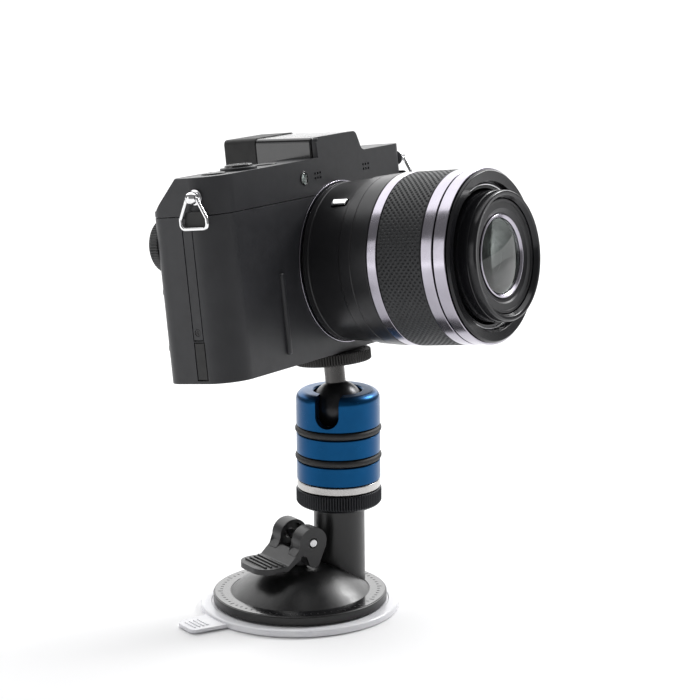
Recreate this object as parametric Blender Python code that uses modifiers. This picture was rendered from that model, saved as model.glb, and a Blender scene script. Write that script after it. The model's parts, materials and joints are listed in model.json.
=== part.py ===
"""Suction-cup stand with a mini ball head and a small mirrorless camera with a zoom lens.

Lengths are written in millimetres and turned into metres by the builders below.
The origin is the centre of the suction disc where it meets the table, +Z is up and
+X runs from the middle of the base to the post. The camera group hangs on an empty
at the centre of the ball, turned the way the camera is aimed.
"""

import math

import bmesh
import bpy
from mathutils import Matrix

MM = 0.001
GAP = 0.3
ROUND_LARGE = 32
ROUND_MEDIUM = 20
ROUND_SMALL = 14

# Suction base
DISC_R = 35.5
DISC_TOP = 2.4
TAB_END_X = -48.0
TAB_HALF = 5.5
TAB_TOP = 1.5
SOCKET_R = 3.5
SOCKET_FLOOR = 3.2
SOCKET_TOP = 8.6
RIM_R = 31.0
RIM_LOW = 2.75
RIM_HIGH = 5.9
DOME_FOOT_R = 24.6
DOME_FOOT_Z = 5.0
DOME_FLAT_R = 7.0
DOME_TOP = 15.0
DOME_POWER = 1.8
SHELL_WALL = 2.0
STEM_HOLE_R = 3.8

# Post and its stud
POST_X = 17.14
POST_R = 9.15
POST_LOW = 3.05
POST_TOP = 34.6
STUD_R = 3.1
STUD_LOW = 29.0
STUD_TOP = 49.0

# Vacuum lever, measured from its pin
PIN_Z = 25.2
PIN_R = 1.55
LEVER_HALF = 9.2
ARM_INNER = 3.6
CHEEK_R = 5.6
NOSE_DEPTH = 8.9
POCKET_R = 4.4
POCKET_DEPTH = 2.6
PAD_TIP_X = -21.6
PAD_TOP = -6.5
PAD_THICK = 2.1
PAD_RIDGES = 4
STEM_R = 3.0
STEM_FOOT = 6.6
BRACKET_HALF = 3.0
BRACKET_R = 3.9
BRACKET_LOW = 18.6

# Ball head
LOCK_RING_R = 15.3
LOCK_RING_LOW = 34.9
LOCK_RING_TOP = 41.3
COLLAR_R = 14.85
COLLAR_LOW = 41.6
COLLAR_TOP = 44.4
CORE_R = 11.0
CORE_TOP = 56.0
HOUSING_R = 14.95
HOUSING_LOW = 44.7
HOUSING_TOP = 77.0
HOUSING_BORE = 11.3
HOUSING_FILLET = 2.8
GROOVE_R = 13.3
GROOVE_HIGH = 3.0
GROOVE_LOWS = (51.6, 61.6)
ORING_R = 15.45
BALL_R = 9.55
BALL_Z = 70.8
SLOT_HALF = 4.3
SLOT_Z = 70.3
SLOT_TURN = math.radians(220.4)
NECK_R = 3.65
PLATFORM_R = 13.6
SCREW_R = 3.1

# How the camera is aimed, and how far its base is above the ball's centre
CAMERA_PAN = math.radians(23.2)
CAMERA_TILT = math.radians(-7.4)
CAMERA_ROLL = math.radians(2.1)
CAMERA_RISE = 20.55

# Camera body, measured from its tripod socket
GRIP_X = -71.9
FAR_X = 43.3
FRONT_Y = -9.0
BACK_Y = 19.5
GRIP_ROUND = 11.0
SEAM_Z = 56.0
DECK_Z = 68.7
DECK_BACK_Y = 6.4
HUMP_TOP = 75.8
HUMP_RISE = 0.03
SLOPE_FOOT_Y = 16.5
SLOPE_FOOT_Z = 58.3
HUMP_LEFT = -10.4
EYEPIECE_Y = 17.0
EYEPIECE_BACK = 30.6
EYEPIECE_LOW = 60.4
GRIP_LUG = (-1.0, 62.3)
FAR_LUG = (-6.6, 63.3)
GRIP_GUARD_Y = -1.0
FAR_GUARD_Y = -3.9
RING_WIRE_R = 0.65
BAY_X = -50.0
BAY_Y = 5.0
DIAL_X = -60.0
DIAL_Z = 45.6
SELECTOR_X = -52.0
SELECTOR_Z = 21.0

# Each button on the deck: x, y, radius and how far it stands proud
TOP_BUTTONS = {
    "shutter_button": (-46.0, -0.8, 4.7, 1.9),
    "movie_button": (-59.5, -0.2, 4.0, 0.5),
    "power_button": (-29.5, -0.2, 3.8, 0.4),
}

# Lens, measured forward from the camera's front along its own axis
LENS_Z = 31.2
LENS_R = 30.0
MOUNT_R = 27.9
BARREL_END = 28.5
RING_A = (28.8, 32.4)
ZOOM_RING = (32.7, 49.9)
RING_B = (50.2, 54.4)
RING_C = (55.0, 59.4)
LENS_FRONT = 60.6
INNER_R = 22.4
INNER_FRONT = 66.6
NAME_RING_R = 19.4
GLASS_R = 12.7
LENS_BUTTON_TURN = math.radians(39.0)
LENS_BUTTON_AT = 12.4

PALETTE = {
    "clear_vinyl": ((0.86, 0.88, 0.92), 0.15, 0.0),
    "black_plastic": ((0.022, 0.022, 0.024), 0.38, 0.0),
    "black_metal": ((0.03, 0.03, 0.033), 0.32, 0.6),
    "blue_anodised": ((0.0, 0.065, 0.22), 0.3, 0.85),
    "silver": ((0.72, 0.71, 0.7), 0.25, 1.0),
    "chrome": ((0.85, 0.85, 0.86), 0.08, 1.0),
    "rubber": ((0.02, 0.02, 0.02), 0.7, 0.0),
    "camera_paint": ((0.045, 0.046, 0.05), 0.5, 0.15),
    "lens_silver": ((0.5, 0.48, 0.53), 0.22, 1.0),
    "glass": ((0.05, 0.07, 0.06), 0.03, 0.0),
    "screen": ((0.01, 0.01, 0.012), 0.08, 0.0),
    "battery_grey": ((0.12, 0.12, 0.13), 0.5, 0.0),
}


def clear_scene():
    for obj in list(bpy.data.objects):
        bpy.data.objects.remove(obj, do_unlink=True)


def new_collection(name, hidden):
    collection = bpy.data.collections.new(name)
    collection.hide_render = hidden
    bpy.context.scene.collection.children.link(collection)
    return collection


def new_materials():
    made = {}
    for name, (colour, roughness, metallic) in PALETTE.items():
        material = bpy.data.materials.new(name)
        material.use_nodes = True
        shader = material.node_tree.nodes["Principled BSDF"]
        shader.inputs["Base Color"].default_value = (*colour, 1.0)
        shader.inputs["Roughness"].default_value = roughness
        shader.inputs["Metallic"].default_value = metallic
        made[name] = material
    return made


clear_scene()
PARTS = new_collection("suction_stand_camera", hidden=False)
CUTTERS = new_collection("cutters", hidden=True)
MATERIALS = new_materials()
CUTTER = "cutter"


def new_empty(name, location, parent=None, rotation=(0.0, 0.0, 0.0), order="XYZ"):
    """An empty at a place given in millimetres, with its rotation in radians."""
    empty = bpy.data.objects.new(name, None)
    empty.location = [value * MM for value in location]
    empty.rotation_mode = order
    empty.rotation_euler = rotation
    empty.parent = parent
    PARTS.objects.link(empty)
    return empty


def finish(mesh, name, material, parent, location):
    """Turns a mesh in millimetres into an object in metres, as a part or as a cutter."""
    mesh.transform(Matrix.Scale(MM, 4))
    obj = bpy.data.objects.new(name, mesh)
    obj.location = [value * MM for value in location]
    obj.parent = parent
    if material == CUTTER:
        obj.hide_render = True
        obj.display_type = "WIRE"
        CUTTERS.objects.link(obj)
    else:
        mesh.materials.append(MATERIALS[material])
        PARTS.objects.link(obj)
    return obj


def mesh_from(bm, name):
    mesh = bpy.data.meshes.new(name)
    bm.to_mesh(mesh)
    bm.free()
    return mesh


def smooth(obj):
    obj.data.shade_smooth()
    obj.data.set_sharp_from_angle(angle=math.radians(35))


def box(name, size, centre, material, parent=None):
    bm = bmesh.new()
    bmesh.ops.create_cube(bm, size=1.0)
    bmesh.ops.scale(bm, vec=size, verts=bm.verts)
    return finish(mesh_from(bm, name), name, material, parent, centre)


def span(low, high):
    """The size and centre of a box between two corners."""
    size = [b - a for a, b in zip(low, high)]
    centre = [(a + b) / 2 for a, b in zip(low, high)]
    return size, centre


AXIS_TURN = {
    "Z": Matrix.Identity(4),
    "Y": Matrix.Rotation(math.radians(90), 4, "X"),
    "X": Matrix.Rotation(math.radians(90), 4, "Y"),
}


def rod(name, radius, length, centre, axis, material, parent=None, segments=ROUND_SMALL):
    bm = bmesh.new()
    bmesh.ops.create_cone(
        bm,
        cap_ends=True,
        segments=segments,
        radius1=radius,
        radius2=radius,
        depth=length,
    )
    mesh = mesh_from(bm, name)
    mesh.transform(AXIS_TURN[axis])
    obj = finish(mesh, name, material, parent, centre)
    smooth(obj)
    return obj


def ball(name, radius, centre, material, parent=None, rings=10):
    bm = bmesh.new()
    bmesh.ops.create_uvsphere(bm, u_segments=2 * rings, v_segments=rings, radius=radius)
    obj = finish(mesh_from(bm, name), name, material, parent, centre)
    smooth(obj)
    return obj


def clockwise(profile):
    """The profile in the order that a Screw needs: down the outer side, up the inner side."""
    area = 0.0
    for (r0, z0), (r1, z1) in zip(profile, profile[1:] + profile[:1]):
        area += r0 * z1 - r1 * z0
    return profile if area < 0 else profile[::-1]


def turned(name, profile, material, parent=None, location=(0, 0, 0), steps=ROUND_LARGE):
    """Spins a closed (radius, height) profile about local Z; edges on the axis are left out."""
    points = clockwise(list(profile))
    bm = bmesh.new()
    verts = [bm.verts.new((r, 0.0, z)) for r, z in points]
    for first, second in zip(verts, verts[1:] + verts[:1]):
        if first.co.x > 0 or second.co.x > 0:
            bm.edges.new((first, second))
    obj = finish(mesh_from(bm, name), name, material, parent, location)
    screw = obj.modifiers.new("turn", "SCREW")
    screw.axis = "Z"
    screw.steps = steps
    screw.render_steps = steps
    screw.use_merge_vertices = True
    screw.merge_threshold = 1e-6
    return obj


def rounded(corners, arc_steps=4):
    """An outline from (x, y, radius) corners, each rounded by an arc where it has a radius."""
    outline = []
    count = len(corners)
    for i, (x, y, radius) in enumerate(corners):
        if radius == 0:
            outline.append((x, y))
            continue
        x0, y0, _ = corners[i - 1]
        x1, y1, _ = corners[(i + 1) % count]
        a0 = math.atan2(y0 - y, x0 - x)
        a1 = math.atan2(y1 - y, x1 - x)
        turn = (a1 - a0 + math.pi) % (2 * math.pi) - math.pi
        middle = a0 + turn / 2
        reach = radius / math.sin(abs(turn) / 2)
        cx = x + reach * math.cos(middle)
        cy = y + reach * math.sin(middle)
        sweep = math.pi - abs(turn)
        start = a0 - math.copysign(math.pi / 2, turn)
        for step in range(arc_steps + 1):
            angle = start - math.copysign(sweep * step / arc_steps, turn)
            outline.append((cx + radius * math.cos(angle), cy + radius * math.sin(angle)))
    return outline


PLANE_TURN = {
    "XY": Matrix.Identity(4),
    "XZ": Matrix.Rotation(math.radians(90), 4, "X"),
    "YZ": Matrix(((0, 0, 1, 0), (1, 0, 0, 0), (0, 1, 0, 0), (0, 0, 0, 1))),
}
PLANE_NORMAL = {"XY": 2, "XZ": 1, "YZ": 0}


def slab(name, outline, low, high, material, parent=None, plane="XY"):
    """A flat outline made thick, from low to high along the plane's normal."""
    curve = bpy.data.curves.new(name, "CURVE")
    curve.dimensions = "2D"
    curve.fill_mode = "BOTH"
    curve.extrude = (high - low) / 2
    spline = curve.splines.new("POLY")
    spline.points.add(len(outline) - 1)
    for point, (u, v) in zip(spline.points, outline):
        point.co = (u, v, 0.0, 1.0)
    spline.use_cyclic_u = True
    mesh = mesh_of_curve(curve, name, merge=1e-3)
    mesh.transform(PLANE_TURN[plane])
    location = [0.0, 0.0, 0.0]
    location[PLANE_NORMAL[plane]] = (low + high) / 2
    return finish(mesh, name, material, parent, location)


def mesh_of_curve(curve, name, merge):
    """The curve's surface as a mesh with its caps welded on."""
    holder = bpy.data.objects.new(name + "_curve", curve)
    PARTS.objects.link(holder)
    graph = bpy.context.evaluated_depsgraph_get()
    mesh = bpy.data.meshes.new_from_object(holder.evaluated_get(graph))
    bm = bmesh.new()
    bm.from_mesh(mesh)
    bmesh.ops.remove_doubles(bm, verts=bm.verts, dist=merge)
    bmesh.ops.recalc_face_normals(bm, faces=bm.faces)
    bm.to_mesh(mesh)
    bm.free()
    bpy.data.objects.remove(holder, do_unlink=True)
    return mesh


def wire_loop(name, points, radius, material, parent, location):
    """A closed loop of round wire through the points."""
    curve = bpy.data.curves.new(name, "CURVE")
    curve.dimensions = "3D"
    curve.bevel_depth = radius
    curve.bevel_resolution = 1
    spline = curve.splines.new("POLY")
    spline.points.add(len(points) - 1)
    for point, place in zip(spline.points, points):
        point.co = (*place, 1.0)
    spline.use_cyclic_u = True
    mesh = mesh_of_curve(curve, name, merge=1e-4)
    obj = finish(mesh, name, material, parent, location)
    smooth(obj)
    return obj


def combine(target, operation, tools):
    """Adds exact Booleans; each tool is a cutter object."""
    for tool in tools:
        modifier = target.modifiers.new(tool.name, "BOOLEAN")
        modifier.operation = operation
        modifier.solver = "EXACT"
        modifier.object = tool


def cut(target, *tools):
    combine(target, "DIFFERENCE", tools)


def add(target, *tools):
    combine(target, "UNION", tools)


def soften(obj, width, segments, where=None):
    """Bevels every sharp edge, or only those whose two ends pass the test (in millimetres)."""
    bevel = obj.modifiers.new("soft_edges", "BEVEL")
    bevel.width = width * MM
    bevel.segments = segments
    if where is None:
        bevel.limit_method = "ANGLE"
        bevel.angle_limit = math.radians(40)
        return
    bevel.limit_method = "WEIGHT"
    mesh = obj.data
    weights = mesh.attributes.new("bevel_weight_edge", "FLOAT", "EDGE")
    for edge in mesh.edges:
        ends = [mesh.vertices[i].co / MM for i in edge.vertices]
        weights.data[edge.index].value = 1.0 if all(where(end) for end in ends) else 0.0


def ring(outer, inner, low, high, chamfer=0.0):
    """The profile of a plain ring, with its outer edges chamfered."""
    return [
        (outer - chamfer, high),
        (outer, high - chamfer),
        (outer, low + chamfer),
        (outer - chamfer, low),
        (inner, low),
        (inner, high),
    ] if chamfer else [(outer, high), (outer, low), (inner, low), (inner, high)]


# ---------------------------------------------------------------- suction base


def dome_points(flat_r, foot_r, top, foot_z, count=6):
    """The dome's outline from its flat top to its foot."""
    points = []
    for i in range(count + 1):
        u = i / count
        radius = flat_r + (foot_r - flat_r) * u
        points.append((radius, top - (top - foot_z) * u**DOME_POWER))
    return points


def build_suction_disc():
    profile = [
        (0, SOCKET_FLOOR),
        (SOCKET_R, SOCKET_FLOOR),
        (SOCKET_R, SOCKET_TOP),
        (SOCKET_R + 2.3, SOCKET_TOP),
        (SOCKET_R + 3.3, DISC_TOP),
        (DISC_R - 0.4, DISC_TOP),
        (DISC_R, DISC_TOP - 0.4),
        (DISC_R, 0.3),
        (DISC_R - 0.3, 0),
        (0, 0),
    ]
    disc = turned("suction_disc", profile, "clear_vinyl")
    corners = [
        (TAB_END_X, -TAB_HALF, 2.5),
        (-DISC_R + 3, -TAB_HALF - 2, 0),
        (-DISC_R + 3, TAB_HALF + 2, 0),
        (TAB_END_X, TAB_HALF, 2.5),
    ]
    add(disc, slab("pull_tab", rounded(corners), 0.3, TAB_TOP, CUTTER))


def build_base_shell():
    outer = dome_points(DOME_FLAT_R, DOME_FOOT_R, DOME_TOP, DOME_FOOT_Z)
    inner = dome_points(
        DOME_FLAT_R - 1,
        DOME_FOOT_R - SHELL_WALL,
        DOME_TOP - SHELL_WALL,
        DOME_FOOT_Z - SHELL_WALL + 0.6,
    )
    rim = [
        (RIM_R - 0.4, RIM_HIGH),
        (RIM_R, RIM_HIGH - 0.4),
        (RIM_R, RIM_LOW),
        (RIM_R - 2.5, RIM_LOW),
    ]
    profile = [(STEM_HOLE_R, DOME_TOP)] + outer + rim + inner[::-1]
    profile.append((STEM_HOLE_R, DOME_TOP - SHELL_WALL))
    shell = turned("base_shell", profile, "black_plastic")
    hole = rod("post_hole", POST_R + GAP, 30, (POST_X, 0, 12), "Z", CUTTER, None, ROUND_MEDIUM)
    cut(shell, hole)


def build_post():
    bore = STUD_R + GAP
    profile = [
        (bore, POST_TOP),
        (POST_R - 0.4, POST_TOP),
        (POST_R, POST_TOP - 0.4),
        (POST_R, POST_LOW),
        (0, POST_LOW),
        (0, STUD_LOW - GAP),
        (bore, STUD_LOW - GAP),
    ]
    axis = (POST_X, 0, 0)
    turned("post_tube", profile, "black_plastic", None, axis, ROUND_MEDIUM)
    middle = (STUD_LOW + STUD_TOP) / 2
    rod("post_stud", STUD_R, STUD_TOP - STUD_LOW, (POST_X, 0, middle), "Z", "silver")


def build_suction_stem():
    """The lifting stem: a rod in the disc's socket, with a flat bracket round the lever's pin."""
    corners = [
        (-2.8, BRACKET_LOW, 0),
        (2.8, BRACKET_LOW, 0),
        (BRACKET_R, PIN_Z - 3.5, 0.8),
        (BRACKET_R, PIN_Z + BRACKET_R, 2.4),
        (-BRACKET_R, PIN_Z + BRACKET_R, 2.4),
        (-BRACKET_R, PIN_Z - 3.5, 0.8),
    ]
    stem = slab(
        "suction_stem",
        rounded(corners, 2),
        -BRACKET_HALF,
        BRACKET_HALF,
        "black_plastic",
        plane="XZ",
    )
    height = BRACKET_LOW + 1 - STEM_FOOT
    add(stem, rod("stem_rod", STEM_R, height, (0, 0, STEM_FOOT + height / 2), "Z", CUTTER))
    cut(stem, rod("stem_pin_hole", PIN_R + GAP, 12, (0, 0, PIN_Z), "Y", CUTTER))


def build_lever():
    pivot = new_empty("lever_pivot", (0, 0, PIN_Z))
    rod("lever_pin", PIN_R, 2 * LEVER_HALF + 0.4, (0, 0, 0), "Y", "chrome", pivot)
    slope = [
        (-5.3, -1.9),
        (-10.4, PAD_TOP),
        (-12.0, PAD_TOP),
        (-12.0, PAD_TOP - PAD_THICK),
        (-11.2, PAD_TOP - PAD_THICK),
        (-5.3, -4.9),
    ]
    lever = slab(
        "suction_lever", slope, -LEVER_HALF, LEVER_HALF, "black_plastic", pivot, "XZ"
    )
    pad = [
        (PAD_TIP_X, -LEVER_HALF, 6.0),
        (-11.0, -LEVER_HALF, 0),
        (-11.0, LEVER_HALF, 0),
        (PAD_TIP_X, LEVER_HALF, 6.0),
    ]
    add(lever, slab("lever_pad", rounded(pad), PAD_TOP - PAD_THICK, PAD_TOP, CUTTER, pivot))
    arm = [
        (CHEEK_R, CHEEK_R, CHEEK_R - 0.2),
        (-CHEEK_R, CHEEK_R, CHEEK_R - 0.2),
        (-CHEEK_R, -1.6, 0),
        (-7.6, -3.6, 0),
        (-6.6, -5.3, 0),
        (-3.2, -3.4, 0.8),
        (-1.3, -NOSE_DEPTH, 1.5),
        (2.0, -NOSE_DEPTH, 1.5),
        (CHEEK_R, -1.8, 0),
    ]
    arm_outline = rounded(arm)
    for side, low in (("near", -LEVER_HALF), ("far", ARM_INNER)):
        high = low + LEVER_HALF - ARM_INNER
        name = "lever_arm_" + side
        add(lever, slab(name, arm_outline, low, high, CUTTER, pivot, "XZ"))
    middle = ARM_INNER + POCKET_DEPTH / 2 - 1
    pocket = rod("pocket", POCKET_R, POCKET_DEPTH + 2, (0, middle, 0), "Y", CUTTER, pivot, 20)
    cut(lever, pocket)
    for i in range(PAD_RIDGES):
        centre = (-12.2 - 2.1 * i, 0, PAD_TOP + 0.1)
        width = 2 * LEVER_HALF - 2.0 - 0.8 * i
        add(lever, box(f"ridge_{i}", (0.9, width, 0.8), centre, CUTTER, pivot))
    cut(lever, rod("lever_pin_hole", PIN_R + GAP, 30, (0, 0, 0), "Y", CUTTER, pivot))


# ------------------------------------------------------------------- ball head


def arc_points(centre, radius, start, end, steps):
    """Points along an arc in the (radius, height) plane, angles in degrees."""
    points = []
    for i in range(steps + 1):
        angle = math.radians(start + (end - start) * i / steps)
        points.append((centre[0] + radius * math.cos(angle), centre[1] + radius * math.sin(angle)))
    return points


def build_lock_ring(axis):
    profile = [
        (LOCK_RING_R - 0.4, LOCK_RING_TOP),
        (LOCK_RING_R, LOCK_RING_TOP - 0.4),
        (LOCK_RING_R, LOCK_RING_LOW + 1.8),
        (LOCK_RING_R - 0.7, LOCK_RING_LOW + 0.7),
        (LOCK_RING_R - 2.0, LOCK_RING_LOW),
        (STUD_R + GAP, LOCK_RING_LOW),
        (STUD_R + GAP, LOCK_RING_TOP),
    ]
    turned("lock_ring", profile, "black_metal", None, axis)


def build_head_collar(axis):
    """The silver foot ring with the core that the housing turns on; a blind bore takes the stud."""
    bore = STUD_R + GAP
    profile = [
        (0, STUD_TOP + GAP),
        (bore, STUD_TOP + GAP),
        (bore, COLLAR_LOW),
        (COLLAR_R, COLLAR_LOW),
        (COLLAR_R, COLLAR_TOP),
        (CORE_R, COLLAR_TOP),
        (CORE_R, CORE_TOP),
        (0, CORE_TOP),
    ]
    turned("head_collar", profile, "silver", None, axis)


def build_housing(axis):
    profile = arc_points(
        (HOUSING_R - HOUSING_FILLET, HOUSING_TOP - HOUSING_FILLET), HOUSING_FILLET, 90, 0, 4
    )
    for low in sorted(GROOVE_LOWS, reverse=True):
        high = low + GROOVE_HIGH
        profile += [(HOUSING_R, high), (GROOVE_R, high), (GROOVE_R, low), (HOUSING_R, low)]
    profile += [
        (HOUSING_R, HOUSING_LOW + 0.3),
        (HOUSING_R - 0.3, HOUSING_LOW),
        (HOUSING_BORE, HOUSING_LOW),
        (HOUSING_BORE, BALL_Z - 1.6),
    ]
    seat = BALL_R + GAP
    top = math.degrees(math.asin((HOUSING_TOP - 0.4 - BALL_Z) / seat))
    profile += arc_points((0, BALL_Z), seat + 0.05, 0, top, 4)
    profile.append((seat * math.cos(math.radians(top)) + 0.5, HOUSING_TOP))
    housing = turned("head_housing", profile, "blue_anodised", None, axis)
    slot_frame = new_empty("slot_frame", axis, None, (0, 0, SLOT_TURN))
    arch = [(SLOT_HALF, HOUSING_TOP + 2)]
    for i in range(9):
        angle = math.radians(-180 * i / 8)
        arch.append((SLOT_HALF * math.cos(angle), SLOT_Z + SLOT_HALF * math.sin(angle)))
    arch.append((-SLOT_HALF, HOUSING_TOP + 2))
    cut(housing, slab("drop_slot", arch, 5, 20, CUTTER, slot_frame, "YZ"))
    for i, low in enumerate(GROOVE_LOWS):
        build_oring(f"oring_{i + 1}", low, axis)


def build_oring(name, groove_low, axis):
    low = groove_low + GAP
    high = groove_low + GROOVE_HIGH - GAP
    profile = [
        (ORING_R - 0.5, high),
        (ORING_R, high - 0.7),
        (ORING_R, low + 0.7),
        (ORING_R - 0.5, low),
        (GROOVE_R + GAP, low),
        (GROOVE_R + GAP, high),
    ]
    turned(name, profile, "rubber", None, axis)


def below_ball(radius):
    """Height just under the ball at this distance from the head's axis."""
    reach = BALL_R + GAP
    return BALL_Z - math.sqrt(reach**2 - radius**2)


def build_ball_seat(axis):
    cup = [(radius, below_ball(radius) - 0.05) for radius in (4.0, 5.5, 7.0, 8.3)]
    profile = [(10.8, below_ball(8.3)), (10.8, 60.2), (4.0, 60.2)] + cup
    turned("ball_seat", profile, "battery_grey", None, axis, ROUND_MEDIUM)
    spring = ring(8.0, 5.0, CORE_TOP + GAP, 59.9)
    turned("clamp_spring", spring, "silver", None, axis, ROUND_MEDIUM)


def build_platform(aim):
    """The ball, its neck and the disc that the camera is screwed down on."""
    ball("ball", BALL_R, (0, 0, 0), "black_metal", aim)
    reach = BALL_R + GAP
    neck_top = 15.6
    foot = [(radius, math.sqrt(reach**2 - radius**2)) for radius in (NECK_R, 2.4, 1.2, 0)]
    neck = [(0, neck_top), (NECK_R, neck_top)] + foot
    turned("ball_neck", neck, "black_metal", aim, (0, 0, 0), 20)
    disc_low = neck_top + GAP
    disc_top = CAMERA_RISE - GAP
    recess = disc_top - 1.3
    bore = SCREW_R + GAP
    disc = [
        (PLATFORM_R - 0.5, disc_top),
        (PLATFORM_R, disc_top - 0.5),
        (PLATFORM_R, disc_low + 0.5),
        (PLATFORM_R - 0.5, disc_low),
        (bore, disc_low),
        (bore, recess),
        (PLATFORM_R - 2.0, recess),
        (PLATFORM_R - 2.0, disc_top),
    ]
    turned("platform_disc", disc, "black_metal", aim, (0, 0, 0), ROUND_LARGE)
    pad = ring(PLATFORM_R - 2.4, bore, recess + GAP, disc_top)
    turned("platform_pad", pad, "rubber", aim, (0, 0, 0), ROUND_MEDIUM)
    screw_low = disc_low + GAP
    screw_top = CAMERA_RISE + 4.6
    centre = (0, 0, (screw_low + screw_top) / 2)
    rod("tripod_screw", SCREW_R, screw_top - screw_low, centre, "Z", "silver", aim)


def build_ball_head():
    axis = (POST_X, 0, 0)
    build_lock_ring(axis)
    build_head_collar(axis)
    build_housing(axis)
    build_ball_seat(axis)
    aim = new_empty(
        "ball_centre",
        (POST_X, 0, BALL_Z),
        None,
        (CAMERA_TILT, CAMERA_ROLL, CAMERA_PAN),
        "YXZ",
    )
    build_platform(aim)
    return aim


# ----------------------------------------------------------------- camera body


def body_outline():
    corners = [
        (GRIP_X, FRONT_Y, GRIP_ROUND),
        (FAR_X, FRONT_Y, 3.5),
        (FAR_X, BACK_Y, 6.0),
        (GRIP_X, BACK_Y, 6.0),
    ]
    return rounded(corners, 6)


def build_lower_body(camera):
    seam = SEAM_Z - GAP / 2
    body = slab("camera_body", body_outline(), 0, seam, "camera_paint", camera)
    soften(body, 2.4, 2, lambda co: co.z < 0)
    ridge = box("grip_ridge", (2.2, 2.4, 28.0), (-39.3, FRONT_Y, 18.4), CUTTER, camera)
    soften(ridge, 0.8, 2)
    add(body, ridge)
    cut(
        body,
        rod("lens_throat", 22.0, 14, (0, FRONT_Y + 5, LENS_Z), "Y", CUTTER, camera, 28),
        box("battery_bay", (21, 19, 46), (BAY_X, BAY_Y, 20), CUTTER, camera),
        box("door_recess", (25, 23, 3), (BAY_X, BAY_Y, 0), CUTTER, camera),
        rod("socket_hole", 5.3, 13.2, (0, 0, 0), "Z", CUTTER, camera, 20),
        box("screen_recess", (65, 3, 47), (5, BACK_Y, 28), CUTTER, camera),
        box("strip_groove", (2.4, 4.3, 44), (GRIP_X, 3.85, 36.4), CUTTER, camera),
        box("flap_recess", (3.2, 4.5, 13.1), (GRIP_X, 3.75, 7.55), CUTTER, camera),
        rod("dial_well", 9.7, 6, (DIAL_X, BACK_Y + 1.4, DIAL_Z), "Y", CUTTER, camera, 20),
        rod("selector_well", 9.5, 6, (SELECTOR_X, BACK_Y, SELECTOR_Z), "Y", CUTTER, camera, 20),
    )
    for name, x, z in rear_buttons():
        cut(body, rod(name + "_well", 2.9, 6, (x, BACK_Y, z), "Y", CUTTER, camera, 12))


def rear_buttons():
    """Name and place of the four small buttons round the selector."""
    return [
        ("button_play", SELECTOR_X - 13, SELECTOR_Z + 9.5),
        ("button_menu", SELECTOR_X + 13, SELECTOR_Z + 9.5),
        ("button_delete", SELECTOR_X - 13, SELECTOR_Z - 9.5),
        ("button_display", SELECTOR_X + 13, SELECTOR_Z - 9.5),
    ]


def on_slope(along, height):
    """A point on the sloping upper back, a share of the way up it and a height off it."""
    run = DECK_BACK_Y - SLOPE_FOOT_Y
    rise = DECK_Z + 0.4 - SLOPE_FOOT_Z
    length = math.hypot(run, rise)
    y = SLOPE_FOOT_Y + run * along + rise / length * height
    z = SLOPE_FOOT_Z + rise * along - run / length * height
    return y, z


def build_top_cover(camera):
    seam = SEAM_Z + GAP / 2
    cover = slab("top_cover", body_outline(), seam, DECK_Z, "camera_paint", camera)
    soften(cover, 1.4, 3, lambda co: co.z > 0)
    wedge = [
        (BACK_Y + 3, SLOPE_FOOT_Z - 1.0),
        (SLOPE_FOOT_Y, SLOPE_FOOT_Z),
        (DECK_BACK_Y, DECK_Z + 0.4),
        (DECK_BACK_Y, DECK_Z + 5),
        (BACK_Y + 3, DECK_Z + 5),
    ]
    cut(cover, slab("rear_slope", wedge, GRIP_X - 5, FAR_X + 5, CUTTER, camera, "YZ"))
    corners = [
        (HUMP_LEFT, SEAM_Z + 1.5, 0),
        (22.5, SEAM_Z + 1.5, 0),
        (22.0, DECK_Z - 0.4, 0),
        (18.0, DECK_Z + 1.4, 1.5),
        (14.2, HUMP_TOP, 2.5),
        (HUMP_LEFT, HUMP_TOP, 1.8),
    ]
    hump = slab("hump", rounded(corners, 3), FRONT_Y, EYEPIECE_Y - GAP, CUTTER, camera, "XZ")
    middle = (FRONT_Y + EYEPIECE_Y - GAP) / 2
    for vertex in hump.data.vertices:
        if vertex.co.z > (DECK_Z + 2) * MM:
            vertex.co.z += HUMP_RISE * (vertex.co.y + (middle - FRONT_Y) * MM)
    add(cover, hump)
    shutter_x, shutter_y = TOP_BUTTONS["shutter_button"][:2]
    collar = rod("shutter_collar", 6.3, 4, (shutter_x, shutter_y, DECK_Z - 1), "Z", CUTTER, camera, 24)
    add(cover, collar)
    for name, (x, y, radius, _) in TOP_BUTTONS.items():
        centre = (x, y, DECK_Z)
        cut(cover, rod(name + "_well", radius + GAP, 5, centre, "Z", CUTTER, camera, 20))
    cut(cover, rod("lamp_well", 2.2, 2.4, (-19.7, FRONT_Y, 62.5), "Y", CUTTER, camera))


def build_eyepiece(camera):
    top = HUMP_TOP + HUMP_RISE * (EYEPIECE_BACK - FRONT_Y) - 0.2
    corners = [
        (HUMP_LEFT, EYEPIECE_LOW, 2.5),
        (15.0, EYEPIECE_LOW, 2.5),
        (15.0, top, 2.5),
        (HUMP_LEFT, top, 1.8),
    ]
    eyepiece = slab(
        "eyepiece", rounded(corners, 3), EYEPIECE_Y, EYEPIECE_BACK, "rubber", camera, "XZ"
    )
    floor = EYEPIECE_BACK - 4.0
    block = box("finder_cut", *span((-5, floor, 63), (9, 35, 73)), CUTTER, camera)
    cut(eyepiece, block)
    size, centre = span((-4.7, floor + GAP, 63.3), (8.7, floor + 1.3, 72.7))
    box("finder_window", size, centre, "glass", camera)


def build_top_buttons(camera):
    for name, (x, y, radius, rise) in TOP_BUTTONS.items():
        low = DECK_Z - 2.5 + 1.4
        high = DECK_Z + rise
        centre = (x, y, (low + high) / 2)
        button = rod(name, radius, high - low, centre, "Z", "black_metal", camera, 20)
        soften(button, 0.25, 1)
    lamp = rod("af_lamp", 1.9, 0.9, (-19.7, FRONT_Y + 0.35, 62.5), "Y", "glass", camera)
    smooth(lamp)


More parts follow.
